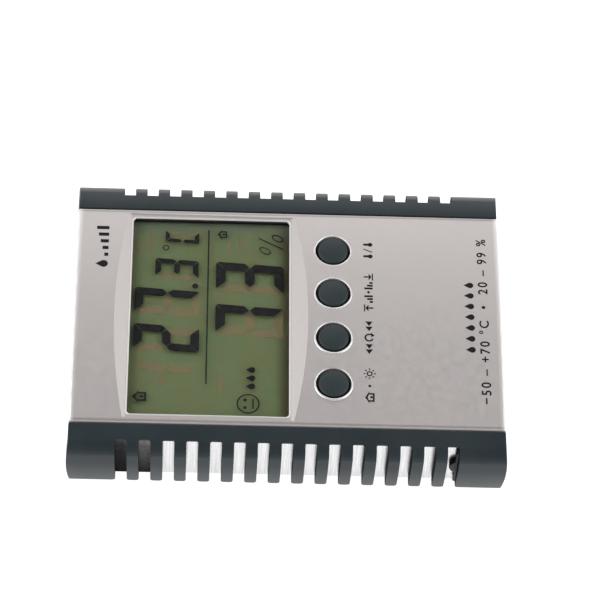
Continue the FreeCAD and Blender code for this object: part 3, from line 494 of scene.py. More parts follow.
# %% Display back
def display_cell():
    mat, shader = start_material("display_cell", Specular_IOR_Level=0.05)
    far_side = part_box("lcd_panel")[1].x
    at = axes(mat)
    cool, olive = colour(0.184, 0.238, 0.125), colour(0.195, 0.233, 0.120)
    warm = colour(0.206, 0.224, 0.114)
    brown, green = colour(0.087, 0.061, 0.038), colour(0.230, 0.268, 0.200)
    lower = spread(mat, at["Y"], 1.0, 0.0, start=-1.2 * MM, end=3.6 * MM)
    far = spread(mat, at["X"], 0.0, 1.0, start=far_side - 6.0 * MM, end=far_side - 0.6 * MM)
    clouds = noise(mat, 6.0, detail=2, shift=(0.3, 0.1, 0.0))
    patches = ramp(mat, clouds, [(0.35, cool), (0.5, olive), (0.68, warm)])
    tint = mix(mat, far, mix(mat, lower, patches, brown), green)
    join(mat, tint, shader.inputs["Base Color"])
    join(mat, spread(mat, noise(mat, 0.4), 0.5, 0.62), shader.inputs["Roughness"])
    join(mat, bump(mat, noise(mat, 0.25, detail=1), 0.003, 0.5), shader.inputs["Normal"])
    return mat


finishes["display_cell"] = display_cell()
ink = moulded("panel_ink", (0.010, 0.008, 0.009), (0.015, 0.012, 0.013), rough=(0.45, 0.6), grain=0.12,
              depth=0.002, cloud=2.0, Specular_IOR_Level=0.12)
crystal = moulded("dark_crystal", (0.019, 0.018, 0.020), (0.025, 0.024, 0.026), rough=(0.35, 0.5),
                  grain=0.3, depth=0.001, cloud=4.0, Specular_IOR_Level=0.0)
resting = moulded("resting_crystal", (0.201, 0.174, 0.095), (0.212, 0.171, 0.098), rough=(0.5, 0.6),
                  grain=0.3, depth=0.001, cloud=3.0, Specular_IOR_Level=0.05)
print(len(finishes), "finishes for the model's own parts")

# %% [markdown]
# ## Giving the finishes to the parts
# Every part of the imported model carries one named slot. The finish of the same name goes into it, and
# nothing about the part's shape or place is touched.

# %% Assign the finishes
for part in nodes.values():
    for slot in part.material_slots:
        slot.material = finishes[slot.material.name.split(".")[0]]
print("dressed", len(nodes), "parts")

# %% [markdown]
# ## Softening the mouldings
# No moulded edge is perfectly sharp, and the thin line of light along an edge is much of what makes plastic
# look real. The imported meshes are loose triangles, so a copy is merged and its flat areas are joined, and
# then the sharp edges get a small two-step bevel. Normals are weighted by area, which keeps flat faces flat.
# The copy stands for the original, which stays in the motion model. An edge is bevelled if its faces turn by
# more than SHARP degrees and drawn hard from HARD degrees. The bezel's shallow creases are kept as well.

# %% Softened copies
def link(obj, body):
    """Puts a finished piece in the scene, on one of the model's bodies."""
    if obj.name not in bpy.context.collection.objects:
        bpy.context.collection.objects.link(obj)
    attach(obj, body)
    return obj


def baked(obj, name):
    """Turns an object and its modifiers into one plain mesh object."""
    if obj.name not in bpy.context.collection.objects:
        bpy.context.collection.objects.link(obj)
    seen = obj.evaluated_get(bpy.context.evaluated_depsgraph_get())
    mesh = bpy.data.meshes.new_from_object(seen)
    mesh.name = name
    bpy.data.objects.remove(obj)
    return bpy.data.objects.new(name, mesh)


SHARP, HARD = 32, 50
CREASE = (7, 28)


def softened(node, name, width, wanted=lambda a, b: True, keep_creases=False):
    """A merged copy of a part, with its sharp edges rounded by width, in mm."""
    original = nodes[node]
    form = bmesh.new()
    form.from_mesh(original.data)
    bmesh.ops.remove_doubles(form, verts=form.verts, dist=1e-7)
    bmesh.ops.dissolve_limit(form, angle_limit=math.radians(0.15), verts=form.verts, edges=form.edges,
                             use_dissolve_boundaries=False)
    sharp = [e for e in form.edges
             if len(e.link_faces) == 2 and e.calc_face_angle(0) > math.radians(SHARP)
             and wanted(e.verts[0].co / MM, e.verts[1].co / MM)]
    bmesh.ops.bevel(form, geom=sharp, offset=width * MM, offset_type="OFFSET", segments=2, profile=0.5,
                    affect="EDGES", clamp_overlap=False)
    for face in form.faces:
        face.smooth = True
    for edge in form.edges:
        if len(edge.link_faces) == 2:
            turn = math.degrees(edge.calc_face_angle(0))
            upward = min(f.normal.z for f in edge.link_faces) > 0.85
            edge.smooth = turn < HARD and not (keep_creases and upward and CREASE[0] < turn < CREASE[1])
    mesh = bpy.data.meshes.new(name)
    form.to_mesh(mesh)
    form.free()
    mesh.materials.append(original.material_slots[0].material)
    copy = bpy.data.objects.new(name, mesh)
    weigh = copy.modifiers.new("weigh", "WEIGHTED_NORMAL")
    weigh.keep_sharp = True
    piece = link(baked(copy, name), original["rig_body"])
    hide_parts(node)
    print(name, len(sharp), "edges rounded,", len(piece.data.polygons), "faces")
    return piece


OUTSIDE_X, OUTSIDE_Y, BEZEL_FOOT = 40.2, 59.9, 18.3
SLOT_RUN = 47.5


def near_window(a, b):
    """The window's edge, the bezel's corners and the outside of the case, but none of the hidden ribs."""
    middle = (a + b) / 2
    outside = abs(middle.x) > OUTSIDE_X or abs(middle.y) > OUTSIDE_Y
    return middle.z > BEZEL_FOOT or outside


def lower_than(height):
    """Edges that lie under a height, in mm, and so show on the back."""
    return lambda a, b: max(a.z, b.z) < height


face = softened("front_shell", "silver_case", 0.14, near_window, keep_creases=True)
for bars in (softened("left_rail", "near_rail", 0.22), softened("right_rail", "far_rail", 0.22)):
    bars.data.materials.append(shaded_slot_slate)
    for side in bars.data.polygons:
        if abs(side.normal.y) > 0.8 and abs(side.center.y) < SLOT_RUN * MM:
            side.material_index = 1
softened("rear_cover", "back_plate", 0.15, lower_than(0.62))
softened("battery_door", "sliding_door", 0.15, lower_than(1.2))
softened("stand", "folding_leg", 0.2, lower_than(1.4))

# %% [markdown]
# ## Rubber domes under the buttons
# Under every button stands a hollow rubber cone that folds down as the button is pressed. It stays on the
# board, so it can't simply move with the button. Each dome gets a softened copy with a mesh of its own.

# %% Domes under the buttons
for number in range(1, 5):
    node = f"key_dome_{number}"
    lo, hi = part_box(node)
    dome = softened(node, f"soft_dome_{number}", 0.05)
    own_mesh(dome)

# %% [markdown]
# ## Flat pieces cut from outlines
# Digits, signs and printed marks are thin plates. A flat curve fills the space between its outlines, keeps
# any hole, and gives a closed plate when it is extruded. The work is done in millimetres and scaled at the
# end, because very small coordinates upset the filling.

# %% Flat plates
def trace(curve, outline):
    """Adds one closed outline to a curve."""
    spline = curve.splines.new("POLY")
    spline.points.add(len(outline) - 1)
    for point, (x, y) in zip(spline.points, outline):
        point.co = (x, y, 0, 1)
    spline.use_cyclic_u = True


def plate(name, outlines, z, thick, mat, drape=None):
    """A plate whose middle lies at height z. drape moves each point onto a curved face."""
    curve = bpy.data.curves.new(name, "CURVE")
    curve.dimensions, curve.fill_mode, curve.extrude = "2D", "BOTH", thick / 2
    for outline in outlines:
        trace(curve, outline)
    return settle(bpy.data.objects.new(name + "_curve", curve), name, z, mat, drape)


def settle(source, name, z, mat, drape=None):
    """Makes a curve or text a mesh, merges it, and puts it at its place in metres."""
    piece = baked(source, name)
    form = bmesh.new()
    form.from_mesh(piece.data)
    bmesh.ops.remove_doubles(form, verts=form.verts, dist=1e-4)
    bmesh.ops.recalc_face_normals(form, faces=form.faces)
    for vert in form.verts:
        ground = drape(vert.co.x, vert.co.y) if drape else 0.0
        vert.co = Vector((vert.co.x, vert.co.y, vert.co.z + z + ground)) * MM
    form.to_mesh(piece.data)
    form.free()
    piece.data.materials.clear()
    piece.data.materials.append(mat)
    return link(piece, "case")


def arc(cx, cy, rx, ry=None, start=0, end=360, steps=24):
    """Points along an arc or a whole ellipse, in degrees."""
    ry = rx if ry is None else ry
    whole = abs(end - start) >= 360
    count = steps if whole else steps + 1
    turns = [math.radians(start + (end - start) * i / steps) for i in range(count)]
    return [(cx + rx * math.cos(t), cy + ry * math.sin(t)) for t in turns]


def bar(x0, y0, x1, y1, width):
    """A straight stroke between two points."""
    along = Vector((x1 - x0, y1 - y0)).normalized() * width / 2
    side = Vector((-along.y, along.x))
    return [(x0 + side.x, y0 + side.y), (x0 - side.x, y0 - side.y),
            (x1 - side.x, y1 - side.y), (x1 + side.x, y1 + side.y)]


def rounded_box(x0, x1, y0, y1, radius, steps=6):
    """A box in outline, with round corners."""
    corners = ((x1 - radius, y1 - radius, 0), (x0 + radius, y1 - radius, 90),
               (x0 + radius, y0 + radius, 180), (x1 - radius, y0 + radius, 270))
    return [p for cx, cy, a in corners for p in arc(cx, cy, radius, start=a, end=a + 90, steps=steps)]


def leaning(points, y0, lean):
    """Shears an outline to the right as it rises, as the digits of such a display lean."""
    return [(x + (y - y0) * lean, y) for x, y in points]


print("outline helpers ready")

# %% [markdown]
# ## The display as a sandwich
# The dark digits float in the liquid crystal, and the dull mirror lies about a millimetre below them. That
# gap is what throws the soft shadow beside every digit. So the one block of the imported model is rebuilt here
# as two: an olive back, and a clear front glass that holds the digits.

# %% Display sandwich
lcd_lo, lcd_hi = (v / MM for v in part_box("lcd_panel"))
BACK_TOP = lcd_lo.z + 1.1
DIGIT_Z = lcd_hi.z - 0.08
display_outline = rounded_box(lcd_lo.x, lcd_hi.x, lcd_lo.y, lcd_hi.y, 0.3, steps=3)
back_thick = BACK_TOP - lcd_lo.z
glass_thick = lcd_hi.z - BACK_TOP
display_back = plate("display_back", [display_outline], lcd_lo.z + back_thick / 2, back_thick,
                     finishes["display_cell"])
display_glass = plate("display_glass", [display_outline], BACK_TOP + glass_thick / 2 + 0.01,
                      glass_thick - 0.02, cell_glass)
for piece in (display_back, display_glass):
    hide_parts("lcd_panel")
print("the digits float", round(DIGIT_Z - BACK_TOP, 2), "mm above the back")

# %% [markdown]
# ## Seven segments
# Each digit is an eight cut into seven bars. The bars meet at mitred corners with a hair of pale space
# between them, and the outer corners are rounded. One function gives all seven outlines for a box of any
# size, and a table says which of them are dark for each number.

# %% Segment outlines
LIT = {"2": "abged", "7": "abc", "3": "abgcd", "C": "afed"}
LEAN = 0.07
GAP = 0.16


def segments(x0, y0, wide, high, bar_width, corner):
    """Outlines of the seven bars, by letter, for a digit box with its lower left corner at x0, y0."""
    w, h, t, k, m = wide, high, bar_width, GAP * 0.707, high / 2
    off = math.degrees(GAP / 2 / corner)
    top = [(t + k, h - t), (w - t - k, h - t)]
    top += arc(w - corner, h - corner, corner, start=45 + off, end=90, steps=3)
    top += arc(corner, h - corner, corner, start=90, end=135 - off, steps=3)
    right = [(w - t / 2, m + k), (w, m + t / 2 + k)]
    right += arc(w - corner, h - corner, corner, start=0, end=45 - off, steps=3)
    right += [(w - t, h - t - k), (w - t, m + t / 2 + k)]
    middle = [(t / 2 + 1.6 * k, m), (t + k, m - t / 2), (w - t - k, m - t / 2), (w - t / 2 - 1.6 * k, m),
              (w - t - k, m + t / 2), (t + k, m + t / 2)]
    down = lambda points: [(x, h - y) for x, y in points]
    across = lambda points: [(w - x, y) for x, y in points]
    loops = {"a": top, "b": right, "c": down(right), "d": down(top), "e": down(across(right)),
             "f": across(right), "g": middle}
    return {key: leaning([(x0 + x, y0 + y) for x, y in points], y0, LEAN) for key, points in loops.items()}


#        number  x0     y0    wide  high  bar
DIGITS = [("2", -11.4, 24.8, 8.25, 18.4, 2.45),
          ("7", 0.95, 24.8, 8.15, 18.4, 2.45),
          ("3", 13.6, 25.4, 6.0, 12.25, 1.6),
          ("C", 25.6, 25.4, 3.95, 9.6, 1.2),
          ("7", -5.6, 1.2, 9.5, 19.2, 2.75),
          ("3", 8.95, 1.2, 9.4, 19.2, 2.75)]
lit, unlit = [], []
for number, x0, y0, wide, high, width in DIGITS:
    for key, outline in segments(x0, y0, wide, high, width, corner=0.38 * width).items():
        (lit if key in LIT[number] else unlit).append(outline)
print(len(lit), "dark bars and", len(unlit), "resting bars")

# %% [markdown]
# ## Signs on the display
# Around the digits stand small signs: a dividing line, a decimal point, the degree ring and the percent sign.
# A little house marks the indoor values, a plain face shows comfort, and drops beside it stand for damp air.

# %% Display signs
def ring(cx, cy, rx, width, ry=None, steps=28):
    """The two outlines of a ring or an oval."""
    ry = rx if ry is None else ry
    return [arc(cx, cy, rx, ry, steps=steps), arc(cx, cy, rx - width, ry - width, steps=steps)]


def drop(cx, cy, high):
    """A filled drop that stands on its round end."""
    r = high * 0.34
    side = arc(cx, cy - high / 2 + r, r, start=-205, end=25, steps=14)
    return side + [(cx, cy + high / 2)]


def house(cx, cy, wide, high, stroke):
    """A house in outline, with a door."""
    w, h = wide / 2, high / 2
    outer = [(cx - w, cy + 0.1 * h), (cx - w * 0.72, cy + 0.1 * h), (cx - w * 0.72, cy - h),
             (cx + w * 0.72, cy - h), (cx + w * 0.72, cy + 0.1 * h), (cx + w, cy + 0.1 * h), (cx, cy + h)]
    inner = [(cx - w * 0.72 + stroke, cy - h + stroke), (cx + w * 0.72 - stroke, cy - h + stroke),
             (cx + w * 0.72 - stroke, cy + 0.1 * h + stroke * 0.4), (cx, cy + h - stroke * 1.5),
             (cx - w * 0.72 + stroke, cy + 0.1 * h + stroke * 0.4)]
    doorway = [(cx - w * 0.14, cy - h + stroke * 1.2), (cx + w * 0.2, cy - h + stroke * 1.2),
               (cx + w * 0.2, cy - h * 0.1), (cx - w * 0.14, cy - h * 0.1)]
    return [outer, inner, doorway]


signs = [bar(-21.6, 22.65, 30.5, 22.65, 0.42), arc(11.1, 26.2, 0.88)]
signs += ring(24.1, 34.8, 0.98, 0.34)
signs += [bar(24.35, 1.3, 28.15, 8.4, 0.44)]
for cx, cy in ((23.8, 6.55), (28.15, 3.0)):
    signs += [leaning(loop, cy, 0.35) for loop in ring(cx, cy, 1.2, 0.38, ry=1.68)]
signs += house(-26.1, 41.0, 4.1, 3.9, 0.62) + house(29.1, 18.8, 3.3, 2.7, 0.44)
signs += ring(-27.7, 10.9, 3.2, 0.4, steps=40)
signs += [arc(-28.95, 11.75, 0.48), arc(-26.5, 11.75, 0.48), bar(-29.3, 9.55, -26.1, 9.55, 0.42)]
signs += [drop(x, 10.35, 2.7) for x in (-22.0, -19.3, -16.6)]
print(len(signs), "outlines for the signs")

# %% Place the digits and the signs
dark_marks = plate("display_digits", lit, DIGIT_Z, 0.03, crystal)
sign_marks = plate("display_signs", signs, DIGIT_Z, 0.03, crystal)
ghosts = [loop for key, loop in segments(-23.9, 24.8, 8.3, 18.4, 2.45, corner=0.93).items() if key in "bc"]
ghosts += [bar(*ends) for ends in (
    (-21.8, 35.2, -18.6, 35.2, 1.6), (22.6, 42.9, 29.8, 42.9, 1.0), (22.9, 39.3, 29.6, 39.3, 1.0),
    (24.2, 16.9, 27.6, 16.9, 1.0), (25.0, 13.4, 29.2, 13.4, 1.0), (-24.6, 19.0, -17.6, 18.6, 1.2))]
resting_marks = plate("resting_segments", unlit + ghosts, BACK_TOP + 0.02, 0.03, resting)
print("display filled")

# %% [markdown]
# ## Around the window
# The window's underside is printed black outside the opening, so nothing shows past the display's edge, and
# a thin black strip lines the wall on the right-hand side, which makes that wall dark. The opening itself has
# a smooth raised lip that catches the light all the way round, and its paler coat adds a painted highlight.

# %% Window mask, dark wall strip and lip
win_lo, win_hi = (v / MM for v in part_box("display_window"))
OPEN_X, OPEN_Y0, OPEN_Y1 = 32.8, -0.3, 44.2
LIP_RADIUS = 0.27


def opening(more, steps=6):
    """The opening's outline, larger by more on every side."""
    return rounded_box(-OPEN_X - more, OPEN_X + more, OPEN_Y0 - more, OPEN_Y1 + more,
                       max(0.2, 1.0 + more), steps)


window_edge = rounded_box(win_lo.x, win_hi.x, win_lo.y, win_hi.y, 1.0)
wall_strip_outline = rounded_box(OPEN_X - 0.14, OPEN_X - 0.01, OPEN_Y0 + 0.3, OPEN_Y1 - 0.3, 0.05, 2)
mask = plate("window_mask", [window_edge, opening(-0.04)],
             win_lo.z - 0.03, 0.03, finishes["tape_black"])
# A thin black strip on the right-hand wall darkens it.
wall_strip = plate("window_wall_strip", [wall_strip_outline], win_hi.z + 0.33, 0.64, finishes["tape_black"])
lip_path = bpy.data.curves.new("lip_path", "CURVE")
lip_path.dimensions, lip_path.bevel_depth, lip_path.bevel_resolution = "3D", LIP_RADIUS, 3
track = opening(LIP_RADIUS, steps=8)
trace(lip_path, track)
lip = settle(bpy.data.objects.new("lip_curve", lip_path), "window_lip", 18.62, rim_highlight_paint)
lip.data.shade_smooth()
print("the lip runs round", len(track), "points")

# %% [markdown]
# ## Marks printed on the face
# The face is slightly crowned, so a flat mark would sink into it in the middle. Each point of a mark is
# dropped onto the real surface by a ray cast from above. The marks are simple signs: a row of rising bars
# and a drop above the display, one sign for each button, and the measuring ranges along the lower edge.

# %% Dropping marks onto the crowned face
surface = BVHTree.FromPolygons([v.co for v in face.data.vertices],
                               [p.vertices[:] for p in face.data.polygons])


def on_face(x, y):
    """Height of the face in mm above a point."""
    hit = surface.ray_cast(Vector((x * MM, y * MM, 0.05)), Vector((0, 0, -1)))[0]
    return hit.z / MM


print("the face is", round(on_face(0, -50) - on_face(34, -50), 2), "mm higher in the middle")

# %% Signs for the buttons and the head of the face
def thermometer(cx, cy, high, wide):
    """An upright thermometer with a filled bulb."""
    bulb = wide / 2
    stem = bulb * 0.55
    side = arc(cx, cy - high / 2 + bulb, bulb, start=-237, end=57, steps=18)
    return side + arc(cx, cy + high / 2 - stem, stem, start=0, end=180, steps=8)


def sun(cx, cy, size):
    """A ring with eight rays."""
    rays = [bar(cx + size * 0.34 * math.cos(t), cy + size * 0.34 * math.sin(t),
                cx + size * 0.5 * math.cos(t), cy + size * 0.5 * math.sin(t), size * 0.09)
            for t in (math.radians(45 * i) for i in range(8))]
    return ring(cx, cy, size * 0.24, size * 0.1, steps=18) + rays


def arrow(cx, cy, high, up=1):
    """An arrow with a bar that it points at."""
    h = high / 2 * up
    head = [(cx - high * 0.42, cy + h * 0.05), (cx + high * 0.42, cy + h * 0.05), (cx, cy + h * 0.72)]
    stem = bar(cx, cy - h, cx, cy, high * 0.17)
    stop = bar(cx - high * 0.45, cy + h * 0.9, cx + high * 0.45, cy + h * 0.9, high * 0.13)
    return [head, stem, stop]


def back_arrow(cx, cy, radius, stroke):
    """Most of a ring that ends in an arrow head: back to the start."""
    outside = arc(cx, cy, radius, start=-30, end=250, steps=22)
    inside = arc(cx, cy, radius - stroke, start=-30, end=250, steps=22)[::-1]
    tip_angle, reach = math.radians(-30), radius - stroke / 2
    tx, ty = cx + reach * math.cos(tip_angle), cy + reach * math.sin(tip_angle)
    head = [(tx - stroke * 1.7, ty - 0.05), (tx + stroke * 1.7, ty + 0.05),
            (tx - stroke * 0.5, ty - stroke * 2.2)]
    return [outside + inside, head]


def rising(x, y, heights, wide=0.62, step=0.95):
    """A row of little bars that stand on one line."""
    return [rounded_box(x + step * i, x + step * i + wide, y, y + high, 0.08, steps=2)
            for i, high in enumerate(heights)]


def pointer(cx, cy, size):
    """A filled triangle that points back to the left."""
    return [(cx - size * 0.45, cy), (cx + size * 0.45, cy - size * 0.6), (cx + size * 0.45, cy + size * 0.6)]


LABEL_Y = -22.6
FOOT_Y = LABEL_Y - 1.2
marks = house(-26.4, LABEL_Y, 3.7, 2.6, 0.46) + [arc(-22.8, LABEL_Y, 0.4, steps=12)]
marks += sun(-18.9, LABEL_Y, 3.4)
marks += back_arrow(-7.2, LABEL_Y, 1.3, 0.44)
marks += [pointer(x, LABEL_Y, 1.65) for x in (-11.8, -10.1, -4.3, -2.6)]
marks += arrow(2.7, LABEL_Y, 2.6) + rising(4.5, FOOT_Y, (0.9, 1.6, 2.4)) + [arc(8.1, LABEL_Y, 0.4, steps=12)]
marks += rising(9.1, FOOT_Y, (2.4, 1.6, 0.9)) + arrow(13.4, LABEL_Y, 2.6, up=-1)
marks += [thermometer(20.7, LABEL_Y, 2.7, 1.35), bar(22.2, LABEL_Y - 1.25, 23.3, LABEL_Y + 1.25, 0.3),
          thermometer(24.9, LABEL_Y, 2.7, 1.35)]
marks += [drop(15.9, 52.8, 3.5)]
marks += rising(18.6, 51.05, (1.1, 1.7, 2.3, 2.9, 3.5), wide=1.15, step=2.4)
marks += [drop(-10.4 + 3.62 * i, -50.95, 2.75) for i in range(7)]
plate("printed_signs", marks, 0.015, 0.03, ink, drape=on_face)
print(len(marks), "printed outlines")

# %% The measuring ranges, as numbers
def printed_text(name, words, x, y, high, spacing):
    """One line of numbers with its middle at x, y. high is the height of a digit in mm."""
    text = bpy.data.curves.new(name, "FONT")
    text.body, text.size, text.space_character = words, high / 0.72, spacing
    text.align_x, text.align_y = "CENTER", "CENTER"
    text.extrude, text.resolution_u, text.offset = 0.015, 4, 0.06
    line = bpy.data.objects.new(name + "_text", text)
    piece = settle(line, name, 0.015, ink, drape=lambda px, py: on_face(px + x, py + y))
    for vert in piece.data.vertices:
        vert.co += Vector((x, y, 0)) * MM
    return piece


ranges = printed_text("printed_ranges", "−50 – +70 °C  •  20 – 99 %", 0.0, -55.1, 2.7, 1.30)
print("the line of numbers is", round(ranges.dimensions.x / MM, 1), "mm long")

# %% [markdown]
# ## Pieces that repeat
# The woven screen behind the first slots and the screws in the back repeat one small form many times. A
# geometry node tree holds the rule, with named inputs for its sizes, and is baked to a plain mesh. A short
# helper starts such a tree and names its inputs. It returns four functions: add makes a node, times
# multiplies, gather joins several geometries at one socket, and close ends the tree.

# %% Node tree helper
def node_tree(name, inputs):
    """An empty geometry tree. Returns add, times, gather, close and its named inputs."""
    tree = bpy.data.node_groups.new(name, "GeometryNodeTree")
    tree.interface.new_socket("Geometry", in_out="OUTPUT", socket_type="NodeSocketGeometry")
    tree.interface.new_socket("Geometry", in_out="INPUT", socket_type="NodeSocketGeometry")
    for label, value in inputs.items():
        kind = "NodeSocketMaterial" if isinstance(value, bpy.types.Material) else "NodeSocketFloat"
        tree.interface.new_socket(label, in_out="INPUT", socket_type=kind)
    group_in = tree.nodes.new("NodeGroupInput")

    def add(kind, fills=(), **settings):
        node = tree.nodes.new(kind)
        for key, value in settings.items():
            setattr(node, key, value)
        for key, value in dict(fills).items():
            if isinstance(value, bpy.types.NodeSocket):
                tree.links.new(value, node.inputs[key])
            else:
                node.inputs[key].default_value = value
        return node

    def times(a, b):
        return add("ShaderNodeMath", {0: a, 1: b}, operation="MULTIPLY").outputs[0]

    def gather(kind, socket, pieces, **settings):
        node = add(kind, **settings)
        for piece in pieces:
            tree.links.new(piece, node.inputs[socket])
        return node.outputs[0]

    def close(geometry):
        solid = add("GeometryNodeRealizeInstances", {0: geometry})
        dressed = add("GeometryNodeSetMaterial", {"Geometry": solid.outputs[0],
                                                  "Material": group_in.outputs["Material"]})
        add("NodeGroupOutput", {0: dressed.outputs[0]})
        return tree

    return add, times, gather, close, group_in.outputs


def grow(tree, name, mesh, inputs):
    """Runs a tree on a mesh with the given inputs, set by their identifiers, and bakes the result."""
    obj = bpy.data.objects.new(name + "_seed", mesh)
    rule = obj.modifiers.new("rule", "NODES")
    rule.node_group = tree
    for item in tree.interface.items_tree:
        if item.in_out == "INPUT" and item.name in inputs:
            rule[item.identifier] = inputs[item.name]
    piece = baked(obj, name)
    for index in reversed([i for i, finish in enumerate(piece.data.materials) if finish is None]):
        piece.data.materials.pop(index=index)
    return piece


print("tree helper ready")

# %% [markdown]
# ## The woven screen
# The screen keeps insects out of the vent. Two families of thin wires cross, one lying slightly in front of
# the other. A line of points carries one straight wire each, so the tree needs only the size of the
# opening, the pitch and the wire.

# %% Vent screen
SCREEN_PITCH, SCREEN_WIRE = 0.40, 0.25


def screen_tree(inputs):
    add, times, gather, close, given = node_tree("woven_screen", inputs)
    wire_circle = add("GeometryNodeCurvePrimitiveCircle", {"Radius": times(given["Wire"], 0.5),
                                                           "Resolution": 6})
    families = []
    for span, other, lift, turn in (("Width", "Height", 0.22, 0), ("Height", "Width", -0.22, 1)):
        share = add("ShaderNodeMath", {0: given[span], 1: given["Pitch"]}, operation="DIVIDE")
        count = add("FunctionNodeFloatToInt", {0: share.outputs[0]}, rounding_mode="FLOOR")
        half = times(given[span], -0.5)
        reach = times(given[other], 0.5)
        back_reach = times(reach, -1.0)
        side = times(given["Wire"], lift)
        start = add("ShaderNodeCombineXYZ", {0: side, (2 if turn else 1): half})
        step = add("ShaderNodeCombineXYZ", {(2 if turn else 1): given["Pitch"]})
        line = add("GeometryNodeMeshLine", {"Count": count.outputs[0], "Start Location": start.outputs[0],
                                            "Offset": step.outputs[0]})
        ends = [add("ShaderNodeCombineXYZ", {(1 if turn else 2): value}).outputs[0]
                for value in (back_reach, reach)]
        rod = add("GeometryNodeCurvePrimitiveLine", {"Start": ends[0], "End": ends[1]})
        body = add("GeometryNodeCurveToMesh", {"Curve": rod.outputs[0],
                                               "Profile Curve": wire_circle.outputs[0], "Fill Caps": True})
        families.append(add("GeometryNodeInstanceOnPoints", {"Points": line.outputs[0],
                                                             "Instance": body.outputs[0]}).outputs[0])
    return close(gather("GeometryNodeJoinGeometry", 0, families))


vent_lo, vent_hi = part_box("vent_screen")
screen_inputs = {"Width": vent_hi.y - vent_lo.y, "Height": vent_hi.z - vent_lo.z,
                 "Pitch": SCREEN_PITCH * MM, "Wire": SCREEN_WIRE * MM, "Material": finishes["screen_mesh"]}
screen = grow(screen_tree(screen_inputs), "woven_screen", bpy.data.meshes.new("seed"), screen_inputs)
screen.data.transform(Matrix.Translation((vent_lo + vent_hi) / 2))
link(screen, "case")
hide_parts("vent_screen")
print("the screen has", len(screen.data.polygons), "faces")

# %% [markdown]
# The wires are welded to a flat rim that is glued to the wall round the vent. It is one closed ring with a
# square section, so the pale wall doesn't show between the wires there.

# %% Rim of the screen
def frame_ring(name, across, outer, inner, mat):
    """A flat rectangular ring. across is its range in x, outer and inner are (y0, y1, z0, z1)."""
    points = []
    loops = ((across[0], outer), (across[0], inner), (across[1], inner), (across[1], outer))
    for x, (y0, y1, z0, z1) in loops:
        points += [(x * MM, y * MM, z * MM) for y, z in ((y0, z0), (y1, z0), (y1, z1), (y0, z1))]
    faces = [(4 * r + i, 4 * r + (i + 1) % 4, 4 * ((r + 1) % 4) + (i + 1) % 4, 4 * ((r + 1) % 4) + i)
             for r in range(4) for i in range(4)]
    mesh = bpy.data.meshes.new(name)
    mesh.from_pydata(points, [], faces)
    form = bmesh.new()
    form.from_mesh(mesh)
    bmesh.ops.recalc_face_normals(form, faces=form.faces)
    bmesh.ops.bevel(form, geom=form.edges[:], offset=0.02 * MM, segments=1, affect="EDGES")
    form.to_mesh(mesh)
    form.free()
    mesh.materials.append(mat)
    return link(bpy.data.objects.new(name, mesh), "case")


lo, hi = vent_lo / MM, vent_hi / MM
rim_outer = (lo.y + 0.15, hi.y - 0.15, lo.z + 0.15, hi.z - 0.15)
rim_inner = (lo.y + 1.7, hi.y - 1.7, 4.2, 14.8)
screen_rim = frame_ring("screen_rim", (lo.x + 0.06, hi.x), rim_outer, rim_inner, finishes["screen_mesh"])
print("the rim has", len(screen_rim.data.polygons), "faces")

# %% [markdown]
# ## Screws
# Eight pan-head screws hold the case and the board. Each is a head that is wider at its top, with a cross
# recess cut by two blades, a shank, and a thread that winds round it. The tree puts one on every point it is
# given, so the points come straight from the middles of the imported model's screws.

# %% Screws
def screw_tree(inputs):
    add, times, gather, close, given = node_tree("pan_head_screws", inputs)
    radius = times(given["Head Width"], 0.5)
    head = add("GeometryNodeMeshCone", {"Vertices": 32, "Side Segments": 3, "Fill Segments": 3,
                                        "Radius Top": radius, "Radius Bottom": times(radius, 0.8),
                                        "Depth": given["Head Height"]})
    blades = []
    for long_side in (0, 1):
        arm = times(given["Head Width"], 0.6)
        thin = times(given["Head Width"], 0.14)
        size = add("ShaderNodeCombineXYZ", {long_side: arm, 1 - long_side: thin,
                                            2: times(given["Head Height"], 1.2)})
        blades.append(add("GeometryNodeMeshCube", {"Size": size.outputs[0]}).outputs[0])
    cross = gather("GeometryNodeMeshBoolean", "Mesh 2", blades, operation="UNION")
    cut = add("GeometryNodeMeshBoolean", {"Mesh 1": head.outputs["Mesh"], "Mesh 2": cross},
              operation="DIFFERENCE")
    shank_radius = times(given["Shank Width"], 0.42)
    shank = add("GeometryNodeMeshCylinder", {"Vertices": 16, "Radius": shank_radius,
                                             "Depth": given["Length"]})
    lifted = add("ShaderNodeCombineXYZ", {2: times(given["Length"], 0.5)})
    stem = add("GeometryNodeTransform", {"Geometry": shank.outputs["Mesh"], "Translation": lifted.outputs[0]})
    thread_path = add("GeometryNodeCurveSpiral", {"Resolution": 14, "Rotations": 9.0,
                                                  "Start Radius": shank_radius, "End Radius": shank_radius,
                                                  "Height": times(given["Length"], 0.94)})
    ridge = add("GeometryNodeCurvePrimitiveCircle", {"Resolution": 4,
                                                     "Radius": times(given["Shank Width"], 0.07)})
    thread = add("GeometryNodeCurveToMesh", {"Curve": thread_path.outputs[0],
                                             "Profile Curve": ridge.outputs[0], "Fill Caps": True})
    one = gather("GeometryNodeJoinGeometry", 0, [node.outputs[0] for node in (thread, stem, cut)])
    many = add("GeometryNodeInstanceOnPoints", {"Points": given["Geometry"], "Instance": one})
    return close(many.outputs[0])


def screw_places(node):
    """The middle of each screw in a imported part, found from its separate solids."""
    lo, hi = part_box(node)
    middle = (lo + hi) / 2
    found = []
    for sx in (-1, 1):
        for sy in (-1, 1):
            own = [v.co for v in nodes[node].data.vertices
                   if (v.co.x - middle.x) * sx > 0 and (v.co.y - middle.y) * sy > 0]
            xs, ys = [c.x for c in own], [c.y for c in own]
            found.append(((min(xs) + max(xs)) / 2, (min(ys) + max(ys)) / 2, lo.z))
    return found


